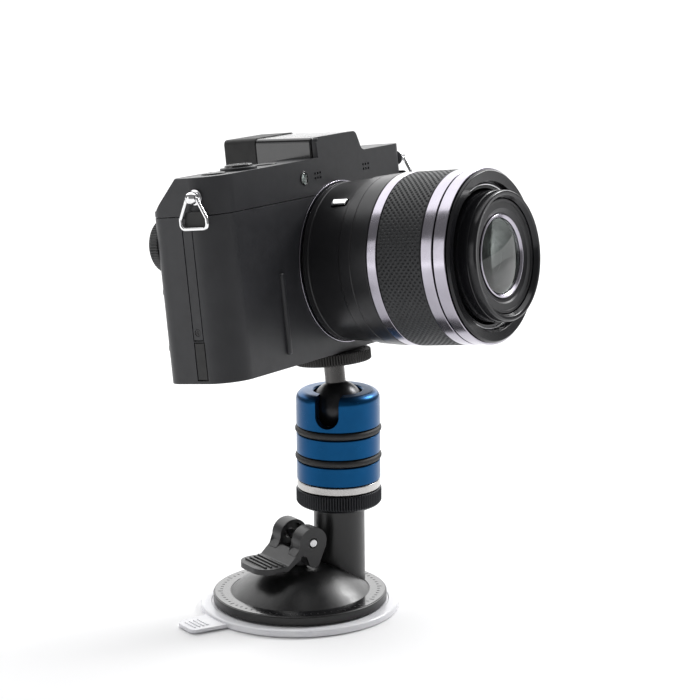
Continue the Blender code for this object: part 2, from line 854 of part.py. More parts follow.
def build_back(camera):
    box("screen", *span((-27, BACK_Y - 1.2, 5), (37, BACK_Y + 0.2, 51)), "screen", camera)
    dial = rod("mode_dial", 9.2, 3.6, (DIAL_X, BACK_Y + 1.6, DIAL_Z), "Y", "black_metal", camera, 20)
    soften(dial, 0.4, 1)
    axis = new_empty("selector_axis", (SELECTOR_X, 0, SELECTOR_Z), camera, (math.pi / 2, 0, 0))
    low = -BACK_Y - 1.0
    selector = ring(9.0, 4.6, low, low + 2.6, 0.4)
    turned("selector_ring", selector, "black_metal", axis, (0, 0, 0), 20)
    centre = (SELECTOR_X, BACK_Y - 0.4, SELECTOR_Z)
    rod("selector_button", 4.2, 2.4, centre, "Y", "black_metal", camera, 16)
    for name, x, z in rear_buttons():
        rod(name, 2.6, 2.4, (x, BACK_Y - 0.5, z), "Y", "black_metal", camera, 12)
    rest = [on_slope(0.1, GAP), on_slope(0.1, 2.6), on_slope(0.8, 2.6), on_slope(0.8, GAP)]
    thumb = slab("thumb_rest", rest, -67, -46, "rubber", camera, "YZ")
    soften(thumb, 0.5, 1)


def build_grip_end(camera):
    strip_size, strip_centre = span((GRIP_X, 2.0, 14.8), (GRIP_X + 0.9, 5.7, SEAM_Z - 0.5))
    box("side_strip", strip_size, strip_centre, "camera_paint", camera)
    flap_size, flap_centre = span((GRIP_X, 1.8, 1.4), (GRIP_X + 1.2, 5.7, 13.8))
    box("side_flap", flap_size, flap_centre, "rubber", camera)


def build_underside(camera):
    box("battery", *span((-60, -4, 2.2), (-40, 14, 42)), "battery_grey", camera)
    box("battery_door", *span((-62.2, -6.2, 0), (-37.8, 16.2, 1.2)), "camera_paint", camera)
    bush = ring(5.0, SCREW_R + GAP, 0.1, 5.0)
    turned("tripod_bush", bush, "silver", camera, (0, 0, 0), 20)
    box("image_sensor", *span((-8, -1, LENS_Z - 6), (8, 0.5, LENS_Z + 6)), "screen", camera)


def build_strap_lug(side, face_x, outward, lug_y, lug_z, guard_y, camera):
    """An eyelet on the body's end, a wire D-ring through it and the dark guard behind the ring."""
    hang_x = face_x + outward * 2.1
    corners = [
        (face_x + outward * 0.35, lug_z - 2.2, 0.6),
        (hang_x + outward * 2.3, lug_z - 2.2, 2.1),
        (hang_x + outward * 2.3, lug_z + 2.2, 2.1),
        (face_x + outward * 0.35, lug_z + 2.2, 0.6),
    ]
    name = "strap_lug_" + side
    lug = slab(name, rounded(corners, 4), lug_y - 1.2, lug_y + 1.2, "chrome", camera, "XZ")
    soften(lug, 0.4, 1)
    cut(lug, rod("lug_hole_" + side, 1.15, 6, (hang_x, lug_y, lug_z), "Y", CUTTER, camera, 12))
    corners = [
        (-1.9, 0, 0.9),
        (1.9, 0, 0.9),
        (5.3, -6.9, 0.8),
        (5.3, -10.2, 1.6),
        (-5.3, -10.2, 1.6),
        (-5.3, -6.9, 0.8),
    ]
    path = [(0, y, z) for y, z in rounded(corners, 2)]
    place = (hang_x, lug_y, lug_z)
    wire_loop("strap_ring_" + side, path, RING_WIRE_R, "chrome", camera, place)
    guard_low = face_x + outward * GAP
    guard_high = face_x + outward * 1.0
    corners = [(-3.6, -4.7, 1), (-4.8, -10.9, 2), (5.4, -10.9, 2), (4.0, -4.7, 1)]
    outline = rounded([(guard_y + y, lug_z + z, turn) for y, z, turn in corners], 2)
    low, high = sorted((guard_low, guard_high))
    slab("strap_guard_" + side, outline, low, high, "rubber", camera, "YZ")


def build_camera(aim):
    camera = new_empty("camera_base", (0, 0, CAMERA_RISE), aim)
    build_lower_body(camera)
    build_top_cover(camera)
    build_eyepiece(camera)
    build_top_buttons(camera)
    build_back(camera)
    build_grip_end(camera)
    build_underside(camera)
    build_strap_lug("grip", GRIP_X, -1, *GRIP_LUG, GRIP_GUARD_Y, camera)
    build_strap_lug("far", FAR_X, 1, *FAR_LUG, FAR_GUARD_Y, camera)
    return camera


# ------------------------------------------------------------------------ lens


def barrel_radius(distance):
    """The rear barrel widens evenly from the mount to the first silver ring."""
    return MOUNT_R + (LENS_R - MOUNT_R) * distance / RING_A[0]


def build_rear_barrel(lens):
    profile = [
        (11.0, GAP),
        (MOUNT_R - 1.2, GAP),
        (MOUNT_R, 1.4),
        (MOUNT_R, 3.6),
        (barrel_radius(4) - 0.6, 4.0),
        (barrel_radius(16.8) - 0.3, 16.8),
        (barrel_radius(16.8), 17.1),
        (barrel_radius(BARREL_END), BARREL_END),
        (24.0, BARREL_END),
        (24.0, 3.4),
        (11.0, 3.4),
    ]
    barrel = turned("lens_rear_barrel", profile, "black_metal", lens)
    frame = new_empty("lens_button_frame", (0, 0, 0), lens, (0, 0, LENS_BUTTON_TURN))
    level = barrel_radius(LENS_BUTTON_AT)
    pocket = box("button_pocket", (3.4, 5.0, 6.8), (0, level, LENS_BUTTON_AT), CUTTER, frame)
    cut(barrel, pocket)
    place = (0, level - 0.45, LENS_BUTTON_AT)
    button = box("lens_button", (2.6, 2.1, 6.0), place, "chrome", frame)
    soften(button, 0.35, 1)
    mount = ring(21.6, 17.0, -3.6, -0.4)
    turned("lens_mount_ring", mount, "silver", lens, (0, 0, 0), 28)


def build_lens_rings(lens):
    turned("lens_ring_rear", ring(LENS_R, 24.0, *RING_A, 0.3), "lens_silver", lens)
    turned("zoom_ring", ring(LENS_R, 24.3, *ZOOM_RING, 0.3), "rubber", lens)
    turned("lens_ring_middle", ring(LENS_R, 28.6, *RING_B, 0.3), "lens_silver", lens)
    turned("lens_ring_front", ring(LENS_R, 28.6, *RING_C, 0.3), "lens_silver", lens)
    profile = [
        (28.3, ZOOM_RING[1] + GAP),
        (28.3, RING_C[1] + GAP),
        (LENS_R - 0.4, RING_C[1] + GAP),
        (28.85, LENS_FRONT),
        (25.4, LENS_FRONT - 0.3),
        (24.6, LENS_FRONT - 2.4),
        (23.2, LENS_FRONT - 2.6),
        (23.2, ZOOM_RING[1] + GAP),
    ]
    turned("lens_front_barrel", profile, "black_metal", lens)


def build_inner_barrel(lens):
    inner = [
        (INNER_R, 34.0),
        (INNER_R, INNER_FRONT - 0.5),
        (INNER_R - 0.6, INNER_FRONT),
        (INNER_R - 1.6, INNER_FRONT - 0.2),
        (NAME_RING_R + GAP, INNER_FRONT - 1.5),
        (NAME_RING_R + GAP, 34.0),
    ]
    turned("inner_barrel", inner, "black_metal", lens)
    name_ring = [
        (NAME_RING_R, INNER_FRONT - 1.8),
        (NAME_RING_R - 3.2, INNER_FRONT - 2.0),
        (GLASS_R + 1.3, INNER_FRONT - 3.0),
        (GLASS_R + 1.3, INNER_FRONT - 6.5),
        (NAME_RING_R, INNER_FRONT - 6.5),
    ]
    turned("front_ring", name_ring, "black_metal", lens, (0, 0, 0), 28)
    bezel = ring(GLASS_R + 1.0, GLASS_R + GAP, INNER_FRONT - 5.2, INNER_FRONT - 2.5)
    turned("glass_bezel", bezel, "silver", lens, (0, 0, 0), 28)
    edge = INNER_FRONT - 3.4
    glass = [
        (0, edge + 1.3),
        (GLASS_R * 0.35, edge + 1.14),
        (GLASS_R * 0.7, edge + 0.64),
        (GLASS_R, edge),
        (GLASS_R, edge - 2.0),
        (0, edge - 2.0),
    ]
    turned("front_glass", glass, "glass", lens, (0, 0, 0), 28)


def build_lens(camera):
    """The lens group's local Z runs forward out of the camera."""
    place = (0, FRONT_Y, LENS_Z)
    lens = new_empty("lens_axis", place, camera, (math.pi / 2, 0, 0))
    build_rear_barrel(lens)
    build_lens_rings(lens)
    build_inner_barrel(lens)


build_suction_disc()
build_base_shell()
build_post()
build_suction_stem()
build_lever()
AIM = build_ball_head()
CAMERA = build_camera(AIM)
build_lens(CAMERA)
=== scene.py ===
import json
import math

import bmesh
import bpy
import numpy as np
from mathutils import Matrix, Vector


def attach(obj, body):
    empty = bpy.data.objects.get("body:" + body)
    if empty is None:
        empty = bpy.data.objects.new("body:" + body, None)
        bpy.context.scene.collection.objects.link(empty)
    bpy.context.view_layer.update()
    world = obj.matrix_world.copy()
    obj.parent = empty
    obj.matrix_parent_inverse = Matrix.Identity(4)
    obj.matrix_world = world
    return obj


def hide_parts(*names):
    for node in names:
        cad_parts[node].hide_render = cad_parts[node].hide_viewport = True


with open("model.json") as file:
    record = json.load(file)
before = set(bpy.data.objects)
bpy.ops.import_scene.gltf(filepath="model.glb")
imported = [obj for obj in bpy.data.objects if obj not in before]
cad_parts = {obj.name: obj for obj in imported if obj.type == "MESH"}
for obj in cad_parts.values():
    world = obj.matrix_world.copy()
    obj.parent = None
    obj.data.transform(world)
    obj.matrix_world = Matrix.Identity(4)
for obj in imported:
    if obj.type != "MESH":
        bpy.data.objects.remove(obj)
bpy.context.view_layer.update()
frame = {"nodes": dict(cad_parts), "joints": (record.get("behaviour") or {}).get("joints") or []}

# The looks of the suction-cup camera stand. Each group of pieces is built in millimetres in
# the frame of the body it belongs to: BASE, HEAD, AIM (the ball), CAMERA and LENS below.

MM = 0.001
ROUND = 144
SMOOTH = 192
JOINTS = {joint["name"]: joint for joint in frame["joints"]}


# ---- frames and sizes


def rigid(origin, x, y, z):
    """A frame from its origin and its three axes."""
    columns = [Vector((*Vector(axis).normalized(), 0)) for axis in (x, y, z)]
    return Matrix([*columns, Vector((*origin, 1))]).transposed()


def moved(base, x, y, z):
    return base @ Matrix.Translation((x * MM, y * MM, z * MM))


def reach(node, base):
    """The lowest and highest corners of a CAD node in a frame, in millimetres."""
    inverse = base.inverted()
    points = [inverse @ vertex.co for vertex in frame["nodes"][node].data.vertices]
    points = np.array(points) / MM
    return points.min(0).tolist(), points.max(0).tolist()


def round_size(node, base):
    """A round CAD node's radius, and its lowest and highest points along the frame's Z."""
    low, high = reach(node, base)
    return high[0], low[2], high[2]


def centre_of(node, base, plane="XZ"):
    """The middle of a CAD node, as its two coordinates in a plane of the frame."""
    low, high = reach(node, base)
    return tuple((low[i] + high[i]) / 2 for i in map("XYZ".index, plane))


side_axis = JOINTS["ball_tilt_forward"]["axis"]
back_axis = JOINTS["ball_tilt_side"]["axis"]
up_axis = JOINTS["camera_turn"]["axis"]
BASE = Matrix.Identity(4)
HEAD = Matrix.Translation((JOINTS["head_pan"]["pos_m"][0], 0, 0))
AIM = rigid(JOINTS["ball_tilt_forward"]["pos_m"], side_axis, back_axis, up_axis)
CAMERA = rigid(JOINTS["camera_turn"]["pos_m"], side_axis, back_axis, up_axis)

COVER_LOW, COVER_HIGH = reach("top_cover", CAMERA)
BODY_HIGH = reach("camera_body", CAMERA)[1]
GRIP_X, FRONT_Y, SEAM_TOP = COVER_LOW
FAR_X = COVER_HIGH[0]
SEAM_LOW = BODY_HIGH[2]
BACK_Y = BODY_HIGH[1]
DECK_Z = 68.7
DECK_BACK_Y = 6.4
SLOPE_FOOT = (16.5, 58.3)
HUMP_LEFT = reach("eyepiece", CAMERA)[0][0]

LENS_Z = (CAMERA.inverted() @ Vector(JOINTS["zoom_turn"]["pos_m"])).z / MM
LENS = moved(CAMERA, 0, FRONT_Y, LENS_Z) @ Matrix.Rotation(math.pi / 2, 4, "X")


# ---- materials


class Look:
    """A node material under construction; textures are measured in millimetres of the piece."""

    def __init__(self, name, colour, roughness, metallic=0.0, **sockets):
        self.material = bpy.data.materials.new(name)
        self.material.use_nodes = True
        self.tree = self.material.node_tree
        self.shader = self.tree.nodes["Principled BSDF"]
        self.shader.inputs["Metallic"].default_value = metallic
        for socket, value in sockets.items():
            self.shader.inputs[socket.replace("_", " ")].default_value = value
        self.colour = colour
        self.roughness = roughness
        place = self.node("TexCoord").outputs["Object"]
        self.place = self.vector("SCALE", place)
        self.place.node.inputs["Scale"].default_value = 1 / MM
        self.height = None
        self.worn = None
        self.mottle_source = self.noise(0.12, self.place, 2.0)

    def node(self, kind):
        return self.tree.nodes.new("ShaderNode" + kind)

    def link(self, output, target):
        self.tree.links.new(output, target)

    def vector(self, operation, first):
        made = self.node("VectorMath")
        made.operation = operation
        self.link(first, made.inputs[0])
        return made.outputs[0]

    def math(self, operation, first, second=0.0):
        made = self.node("Math")
        made.operation = operation
        for socket, value in zip(made.inputs, (first, second)):
            if isinstance(value, (int, float)):
                socket.default_value = value
            else:
                self.link(value, socket)
        return made.outputs[0]

    def noise(self, scale, place, detail=3.0):
        made = self.node("TexNoise")
        made.inputs["Scale"].default_value = scale
        made.inputs["Detail"].default_value = detail
        self.link(place, made.inputs["Vector"])
        return made.outputs["Fac"]

    def ramp(self, value, low, high, start, end):
        """The value's stretch from low to high, spread over start to end."""
        made = self.node("MapRange")
        for socket, number in zip(("From Min", "From Max", "To Min", "To Max"), (low, high, start, end)):
            made.inputs[socket].default_value = number
        self.link(value, made.inputs["Value"])
        return made.outputs["Result"]

    def mix(self, factor, first, second):
        made = self.node("Mix")
        made.data_type = "RGBA"
        self.link(factor, made.inputs["Factor"])
        for socket, value in zip((made.inputs[6], made.inputs[7]), (first, second)):
            if isinstance(value, tuple):
                socket.default_value = (*value, 1.0)
            else:
                self.link(value, socket)
        return made.outputs[2]

    def spun(self, turns=0.35, across=9.0):
        """Coordinates that run in fine circles round the piece's own Z."""
        parts = self.node("SeparateXYZ")
        self.link(self.place, parts.inputs[0])
        x, y, z = parts.outputs
        squares = self.math("ADD", self.math("MULTIPLY", x, x), self.math("MULTIPLY", y, y))
        radius = self.math("SQRT", squares)
        joined = self.node("CombineXYZ")
        self.link(self.math("MULTIPLY", radius, across), joined.inputs[0])
        self.link(self.math("MULTIPLY", self.math("ARCTAN2", y, x), turns), joined.inputs[1])
        self.link(self.math("MULTIPLY", z, across), joined.inputs[2])
        return joined.outputs[0]

    def bump(self, height, depth):
        """Adds relief, depth in millimetres."""
        made = self.node("Bump")
        made.inputs["Strength"].default_value = 1.0
        made.inputs["Distance"].default_value = depth * MM
        self.link(height, made.inputs["Height"])
        if self.height is not None:
            self.link(self.height, made.inputs["Normal"])
        self.height = made.outputs["Normal"]

    def wear(self, radius, colour, strength):
        """Lightens the edges, where the normal turns within the radius."""
        edge = self.node("Bevel")
        edge.samples = 4
        edge.inputs["Radius"].default_value = radius * MM
        flat = self.node("NewGeometry").outputs["Normal"]
        dot = self.node("VectorMath")
        dot.operation = "DOT_PRODUCT"
        self.link(edge.outputs[0], dot.inputs[0])
        self.link(flat, dot.inputs[1])
        broken = self.math("MULTIPLY", self.ramp(dot.outputs["Value"], 0.99, 0.8, 0.0, strength),
                           self.ramp(self.noise(1.1, self.place), 0.35, 0.6, 0.3, 1.0))
        self.worn = (broken, colour)

    def done(self, mottle=0.12, spread=0.08):
        """Wires colour and roughness, each with its own slow variation."""
        dark = tuple(c * (1 - mottle) for c in self.colour)
        light = tuple(min(1.0, c * (1 + mottle)) for c in self.colour)
        colour = self.mix(self.ramp(self.mottle_source, 0.3, 0.7, 0.0, 1.0), dark, light)
        if self.worn:
            broken, worn_colour = self.worn
            colour = self.mix(broken, colour, worn_colour)
        self.link(colour, self.shader.inputs["Base Color"])
        smudge = self.noise(0.35, self.place, 5.0)
        low, high = self.roughness - spread / 2, self.roughness + spread / 2
        self.link(self.ramp(smudge, 0.3, 0.7, low, high), self.shader.inputs["Roughness"])
        if self.height is not None:
            self.link(self.height, self.shader.inputs["Normal"])
        return self.material


def grained(name, colour, roughness, grain, depth, wear):
    """Moulded plastic or paint with a fine grain; wear is the colour of its rubbed edges."""
    look = Look(name, colour, roughness)
    look.bump(look.noise(1 / grain, look.place, 2.0), depth)
    if wear:
        look.wear(0.35, wear, 0.6)
    return look.done()


def spun_metal(name, colour, roughness, depth, metallic=1.0):
    """Turned metal, with fine circular tool marks."""
    look = Look(name, colour, roughness, metallic)
    look.bump(look.noise(1.0, look.spun(), 2.0), depth)
    return look.done(0.05, 0.06)


def smooth_look(name, colour, roughness, metallic=0.0, **sockets):
    """Polished surfaces, with only faint handling marks."""
    look = Look(name, colour, roughness, metallic, **sockets)
    look.bump(look.noise(0.5, look.place, 2.0), 0.002)
    return look.done(0.04, 0.04)


# Colour, roughness, grain and its depth in millimetres, and the colour of rubbed edges.
GRAINED = {
    "camera_paint": ((0.019, 0.0195, 0.0225), 0.42, 0.28, 0.03, (0.07, 0.072, 0.08)),
    "base_black": ((0.01, 0.01, 0.0105), 0.33, 0.32, 0.03, (0.03, 0.03, 0.03)),
    "lever_black": ((0.022, 0.022, 0.023), 0.42, 0.25, 0.02, (0.05, 0.05, 0.05)),
    "rubber_black": ((0.018, 0.018, 0.018), 0.62, 0.4, 0.012, None),
    "zoom_rubber": ((0.017, 0.018, 0.02), 0.5, 0.3, 0.008, None),
    "button_black": ((0.02, 0.02, 0.021), 0.4, 0.2, 0.006, None),
    "guard_black": ((0.014, 0.014, 0.014), 0.55, 0.3, 0.01, None),
    "inner_grey": ((0.12, 0.12, 0.13), 0.5, 0.3, 0.01, None),
}
# Colour, roughness, depth of the tool marks in millimetres, and metallic.
SPUN = {
    "blue_anodised": ((0.003, 0.06, 0.165), 0.3, 0.002, 0.9),
    "head_silver": ((0.47, 0.46, 0.45), 0.28, 0.003, 1.0),
    "head_dark": ((0.1, 0.097, 0.095), 0.28, 0.0012, 0.9),
    "disc_dark": ((0.04, 0.039, 0.038), 0.3, 0.001, 0.8),
    "ring_black": ((0.018, 0.019, 0.022), 0.36, 0.002, 0.6),
    "steel": ((0.6, 0.6, 0.61), 0.28, 0.003, 1.0),
    "lens_silver": ((0.42, 0.4, 0.455), 0.2, 0.002, 1.0),
    "lens_black": ((0.02, 0.02, 0.022), 0.33, 0.0015, 0.35),
    "lens_gloss": ((0.012, 0.012, 0.014), 0.2, 0.001, 0.3),
}
LOOKS = {name: grained(name, *values) for name, values in GRAINED.items()}
LOOKS |= {name: spun_metal(name, *values) for name, values in SPUN.items()}
LOOKS |= {
    "gloss_black": smooth_look("gloss_black", (0.008, 0.008, 0.009), 0.16, Coat_Weight=0.4),
    "screen_glass": smooth_look("screen_glass", (0.004, 0.004, 0.005), 0.06, Coat_Weight=0.6),
    "ball_dark": smooth_look("ball_dark", (0.03, 0.03, 0.032), 0.3, 0.7),
    "chrome": smooth_look("chrome", (0.82, 0.82, 0.83), 0.09, 1.0),
    "clear_vinyl": smooth_look("clear_vinyl", (0.94, 0.94, 0.985), 0.2, Transmission_Weight=0.12, IOR=1.42),
    "lens_glass": smooth_look("lens_glass", (0.86, 0.93, 0.9), 0.02, Transmission_Weight=1.0, IOR=1.52),
    "lens_inside": smooth_look("lens_inside", (0.05, 0.06, 0.055), 0.3),
}


# ---- mesh tools


def rounded(corners, steps=10):
    """An outline from (u, v, radius) corners, each rounded by an arc where it has a radius."""
    outline = []
    count = len(corners)
    for i, (u, v, radius) in enumerate(corners):
        if radius == 0:
            outline.append((u, v))
            continue
        before = corners[i - 1]
        after = corners[(i + 1) % count]
        a0 = math.atan2(before[1] - v, before[0] - u)
        a1 = math.atan2(after[1] - v, after[0] - u)
        turn = (a1 - a0 + math.pi) % (2 * math.pi) - math.pi
        gap = radius / math.sin(abs(turn) / 2)
        cu = u + gap * math.cos(a0 + turn / 2)
        cv = v + gap * math.sin(a0 + turn / 2)
        start = a0 - math.copysign(math.pi / 2, turn)
        sweep = math.copysign(math.pi - abs(turn), turn)
        for step in range(steps + 1):
            angle = start - sweep * step / steps
            outline.append((cu + radius * math.cos(angle), cv + radius * math.sin(angle)))
    return outline


def new_form(bm, name):
    """An object holding the mesh, in millimetres turned into metres, not yet in its place."""
    bmesh.ops.recalc_face_normals(bm, faces=bm.faces)
    mesh = bpy.data.meshes.new(name)
    bm.to_mesh(mesh)
    bm.free()
    obj = bpy.data.objects.new(name, mesh)
    bpy.context.scene.collection.objects.link(obj)
    return obj


def lathe(name, outline, steps=ROUND, ripple=None):
    """Spins a closed (radius, height) outline about Z; ripple gives each point a new radius."""
    bm = bmesh.new()
    rings = []
    for radius, height in outline:
        if radius < 1e-6:
            rings.append([bm.verts.new((0, 0, height * MM))])
            continue
        ring = []
        for k in range(steps):
            angle = 2 * math.pi * k / steps
            r = ripple(angle, radius, height) if ripple else radius
            ring.append(bm.verts.new((r * math.cos(angle) * MM, r * math.sin(angle) * MM, height * MM)))
        rings.append(ring)
    for first, second in zip(rings, rings[1:] + rings[:1]):
        for k in range(steps):
            corners = []
            for ring, index in ((first, k), (first, k + 1), (second, k + 1), (second, k)):
                vertex = ring[index % len(ring)]
                if vertex not in corners:
                    corners.append(vertex)
            if len(corners) > 2:
                bm.faces.new(corners)
    return new_form(bm, name)


TURN = {
    "XY": Matrix.Identity(4),
    "XZ": Matrix(((1, 0, 0, 0), (0, 0, 1, 0), (0, 1, 0, 0), (0, 0, 0, 1))),
    "YZ": Matrix(((0, 0, 1, 0), (1, 0, 0, 0), (0, 1, 0, 0), (0, 0, 0, 1))),
}


def slab(name, outline, low, high, plane="XY", edge=0.0, segments=3, only=None):
    """An outline made thick along its plane's normal; edge rounds its two rims, or one of them."""
    bm = bmesh.new()
    floor = [bm.verts.new((u * MM, v * MM, low * MM)) for u, v in outline]
    roof = [bm.verts.new((u * MM, v * MM, high * MM)) for u, v in outline]
    bm.faces.new(floor[::-1])
    bm.faces.new(roof)
    count = len(outline)
    for i in range(count):
        j = (i + 1) % count
        bm.faces.new((floor[i], floor[j], roof[j], roof[i]))
    if edge:
        rims = []
        for rim, wanted in ((floor, only in (None, "low")), (roof, only in (None, "high"))):
            if wanted:
                members = set(rim)
                rims += [e for e in bm.edges if set(e.verts) <= members]
        bmesh.ops.bevel(bm, geom=rims, offset=edge * MM, segments=segments, profile=0.5, affect="EDGES")
    bmesh.ops.transform(bm, matrix=TURN[plane], verts=bm.verts)
    return new_form(bm, name)


def block(name, low, high, edge=0.0, segments=2):
    """A box between two corners, with all its edges rounded."""
    bm = bmesh.new()
    bmesh.ops.create_cube(bm, size=1.0)
    size = [(b - a) * MM for a, b in zip(low, high)]
    centre = [(a + b) / 2 * MM for a, b in zip(low, high)]
    bmesh.ops.scale(bm, vec=size, verts=bm.verts)
    bmesh.ops.translate(bm, vec=centre, verts=bm.verts)
    if edge:
        edges = bm.edges[:]
        bmesh.ops.bevel(bm, geom=edges, offset=edge * MM, segments=segments, profile=0.5, affect="EDGES")
    return new_form(bm, name)


AXIS_TURN = {
    "Z": Matrix.Identity(4),
    "Y": Matrix.Rotation(-math.pi / 2, 4, "X"),
    "X": Matrix.Rotation(math.pi / 2, 4, "Y"),
}


def peg(name, radius, low, high, centre=(0.0, 0.0), axis="Z", edge=0.0, steps=48, dish=0.0):
    """A round peg along an axis through a point of the plane across it; dish hollows its high end."""
    corners = [(0, low, 0), (radius, low, edge), (radius, high, edge), (0, high - dish, 0)]
    obj = lathe(name, rounded(corners, 4), steps)
    obj.data.transform(AXIS_TURN[axis])
    u, v = centre
    place = {"Z": (u, v, 0), "Y": (u, 0, v), "X": (0, u, v)}[axis]
    obj.data.transform(Matrix.Translation([value * MM for value in place]))
    return obj


WIRE_BEVEL = 3


def wire(name, points, radius):
    """A closed loop of round wire along the points."""
    curve = bpy.data.curves.new(name, "CURVE")
    curve.dimensions = "3D"
    curve.bevel_depth = radius * MM
    curve.bevel_resolution = WIRE_BEVEL
    curve.use_fill_caps = True
    spline = curve.splines.new("POLY")
    spline.points.add(len(points) - 1)
    for point, place in zip(spline.points, points):
        point.co = (*[value * MM for value in place], 1.0)
    spline.use_cyclic_u = True
    holder = bpy.data.objects.new(name, curve)
    bpy.context.scene.collection.objects.link(holder)
    obj = bpy.data.objects.new(name, settled_mesh(holder))
    bpy.data.objects.remove(holder, do_unlink=True)
    bpy.context.scene.collection.objects.link(obj)
    return obj


def settled_mesh(obj):
    graph = bpy.context.evaluated_depsgraph_get()
    return bpy.data.meshes.new_from_object(obj.evaluated_get(graph))


def boolean(target, operation, *tools):
    """Joins or cuts with the tools, which are used up."""
    for tool in tools:
        modifier = target.modifiers.new(tool.name, "BOOLEAN")
        modifier.operation = operation
        modifier.solver = "EXACT"
        modifier.object = tool
    mesh = settled_mesh(target)
    target.modifiers.clear()
    target.data = mesh
    for tool in tools:
        bpy.data.objects.remove(tool, do_unlink=True)
    return target


def cut(target, *tools):
    return boolean(target, "DIFFERENCE", *tools)


def add(target, *tools):
    return boolean(target, "UNION", *tools)


def edged(obj, width, segments=2, angle=35):
    """Rounds every sharp edge that is left."""
    bevel = obj.modifiers.new("edges", "BEVEL")
    bevel.width = width * MM
    bevel.segments = segments
    bevel.limit_method = "ANGLE"
    bevel.angle_limit = math.radians(angle)
    mesh = settled_mesh(obj)
    obj.modifiers.clear()
    obj.data = mesh
    return obj


def show(obj, look, body, base, *nodes, crease=38):
    """Puts a finished piece in its place: its look, its body and the CAD nodes it stands for."""
    obj.data.materials.clear()
    obj.data.materials.append(LOOKS[look])
    for polygon in obj.data.polygons:
        polygon.material_index = 0
    obj.data.shade_smooth()
    obj.data.set_sharp_from_angle(angle=math.radians(crease))
    weighted = obj.modifiers.new("weighted", "WEIGHTED_NORMAL")
    weighted.keep_sharp = True
    obj.matrix_world = base
    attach(obj, body)
    if nodes:
        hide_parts(*nodes)
    return obj


# ---- suction base


DISC_TOP = 2.4
DISC_FLOOR = 2.15
HUB_TOP = 8.4
HUB_FLOOR = 3.2
TAB_LOW, TAB_HIGH = 0.3, 1.5
RIB_HALF = 3.6
RIB_PITCH = 1.7
DOME_POWER = 1.8
DOME_STEPS = 24
DOME_FOOT = 5.8
RIM_LOW = 2.75
STEM_HOLE_R = 3.8
POST_HOLE_R = 9.35
SCREW_HOLE_R = 3.4
STUD_HOLE_LOW = 28.7
TICKS = 72


def dome(flat, foot, top, low):
    """The dome's profile, from the edge of its flat top down to its foot."""
    points = []
    for i in range(DOME_STEPS + 1):
        u = i / DOME_STEPS
        points.append((flat + (foot - flat) * u, top - (top - low) * u**DOME_POWER))
    return points


def build_base():
    disc_low, disc_high = reach("suction_disc", BASE)
    disc_r = disc_high[0]
    outline = rounded([
        (0, 0.0, 0), (disc_r, 0.0, 0.5), (disc_r, DISC_TOP, 0.8), (31.8, DISC_TOP, 0), (31.5, DISC_FLOOR, 0),
        (6.5, DISC_FLOOR, 0), (5.8, HUB_TOP, 0.4), (3.5, HUB_TOP, 0), (3.5, HUB_FLOOR, 0), (0, HUB_FLOOR, 0),
    ], 6)
    disc = lathe("suction_disc_clear", outline)
    tab_end = disc_low[0]
    tab_root = 3 - disc_r
    corners = [(tab_end, -5.5, 2.6), (tab_root, -7.5, 0), (tab_root, 7.5, 0), (tab_end, 5.5, 2.6)]
    add(disc, slab("tab", rounded(corners), TAB_LOW, TAB_HIGH, edge=0.4))
    ribs = []
    for i in range(4):
        x = tab_end + 2 + i * RIB_PITCH
        ribs.append(block("rib", (x, -RIB_HALF, 1.3), (x + 0.7, RIB_HALF, 1.8), 0.2))
    add(disc, *ribs)
    show(disc, "clear_vinyl", "base", BASE, "suction_disc")

    rim_r = reach("base_shell", BASE)[1][0]
    outer = dome(7.0, 24.6, 15.0, DOME_FOOT)
    inner = dome(6.0, 22.6, 13.0, 3.6)
    corners = [(24.7, DOME_FOOT, 0), (rim_r, DOME_FOOT, 0.5), (rim_r, RIM_LOW, 0.3), (28.5, RIM_LOW, 0)]
    outline = [(STEM_HOLE_R, 15.5)] + outer + rounded(corners, 4) + inner[::-1] + [(STEM_HOLE_R, 13.0)]
    shell = lathe("base_shell_fine", outline, SMOOTH)
    post_x = HEAD.translation.x / MM
    cut(shell, peg("post_hole", POST_HOLE_R, -5, 30, (post_x, 0), steps=96))
    show(shell, "base_black", "base", BASE, "base_shell", crease=30)
    band = rounded([(24.9, 5.78, 0), (30.4, 5.78, 0), (30.4, 5.95, 0.08), (24.9, 5.95, 0.08)], 3)
    show(lathe("rim_band", band, SMOOTH), "gloss_black", "base", BASE)
    ticks = []
    for k in range(TICKS):
        end = 28.6 if k % 6 else 29.3
        tick = block(f"tick_{k}", (27.6, -0.2, 5.9), (end, 0.2, 6.02), 0.04, 1)
        tick.data.transform(Matrix.Rotation(2 * math.pi * k / TICKS, 4, "Z"))
        ticks.append(tick)
    show(joined("rim_ticks", ticks), "base_black", "base", BASE)

    low, high = reach("post_tube", HEAD)
    corners = [(0, low[2], 0), (high[0], low[2], 0), (high[0], high[2], 0.4), (SCREW_HOLE_R, high[2], 0),
               (SCREW_HOLE_R, STUD_HOLE_LOW, 0), (0, STUD_HOLE_LOW, 0)]
    post = lathe("post_tube_fine", rounded(corners, 4), 96)
    show(post, "base_black", "base", HEAD, "post_tube")


def joined(name, objects):
    """One object from several, their meshes side by side."""
    bm = bmesh.new()
    for obj in objects:
        bm.from_mesh(obj.data)
        bpy.data.objects.remove(obj, do_unlink=True)
    return new_form(bm, name)


ARM_INNER = 3.6
CHEEK_R = 5.6
NOSE_LOW = -8.9
POCKET_R = 4.4
POCKET_DEPTH = 2.6
PAD_ROOT = -11.0
PAD_TIP = -21.6
PAD_LOW = -8.6
PAD_TOP = -6.5
RIDGE_PITCH = 2.0
PIN_R = 1.55
PIN_HOLE_R = 1.85
BRACKET_R = 3.9
ROD_R = 3.0


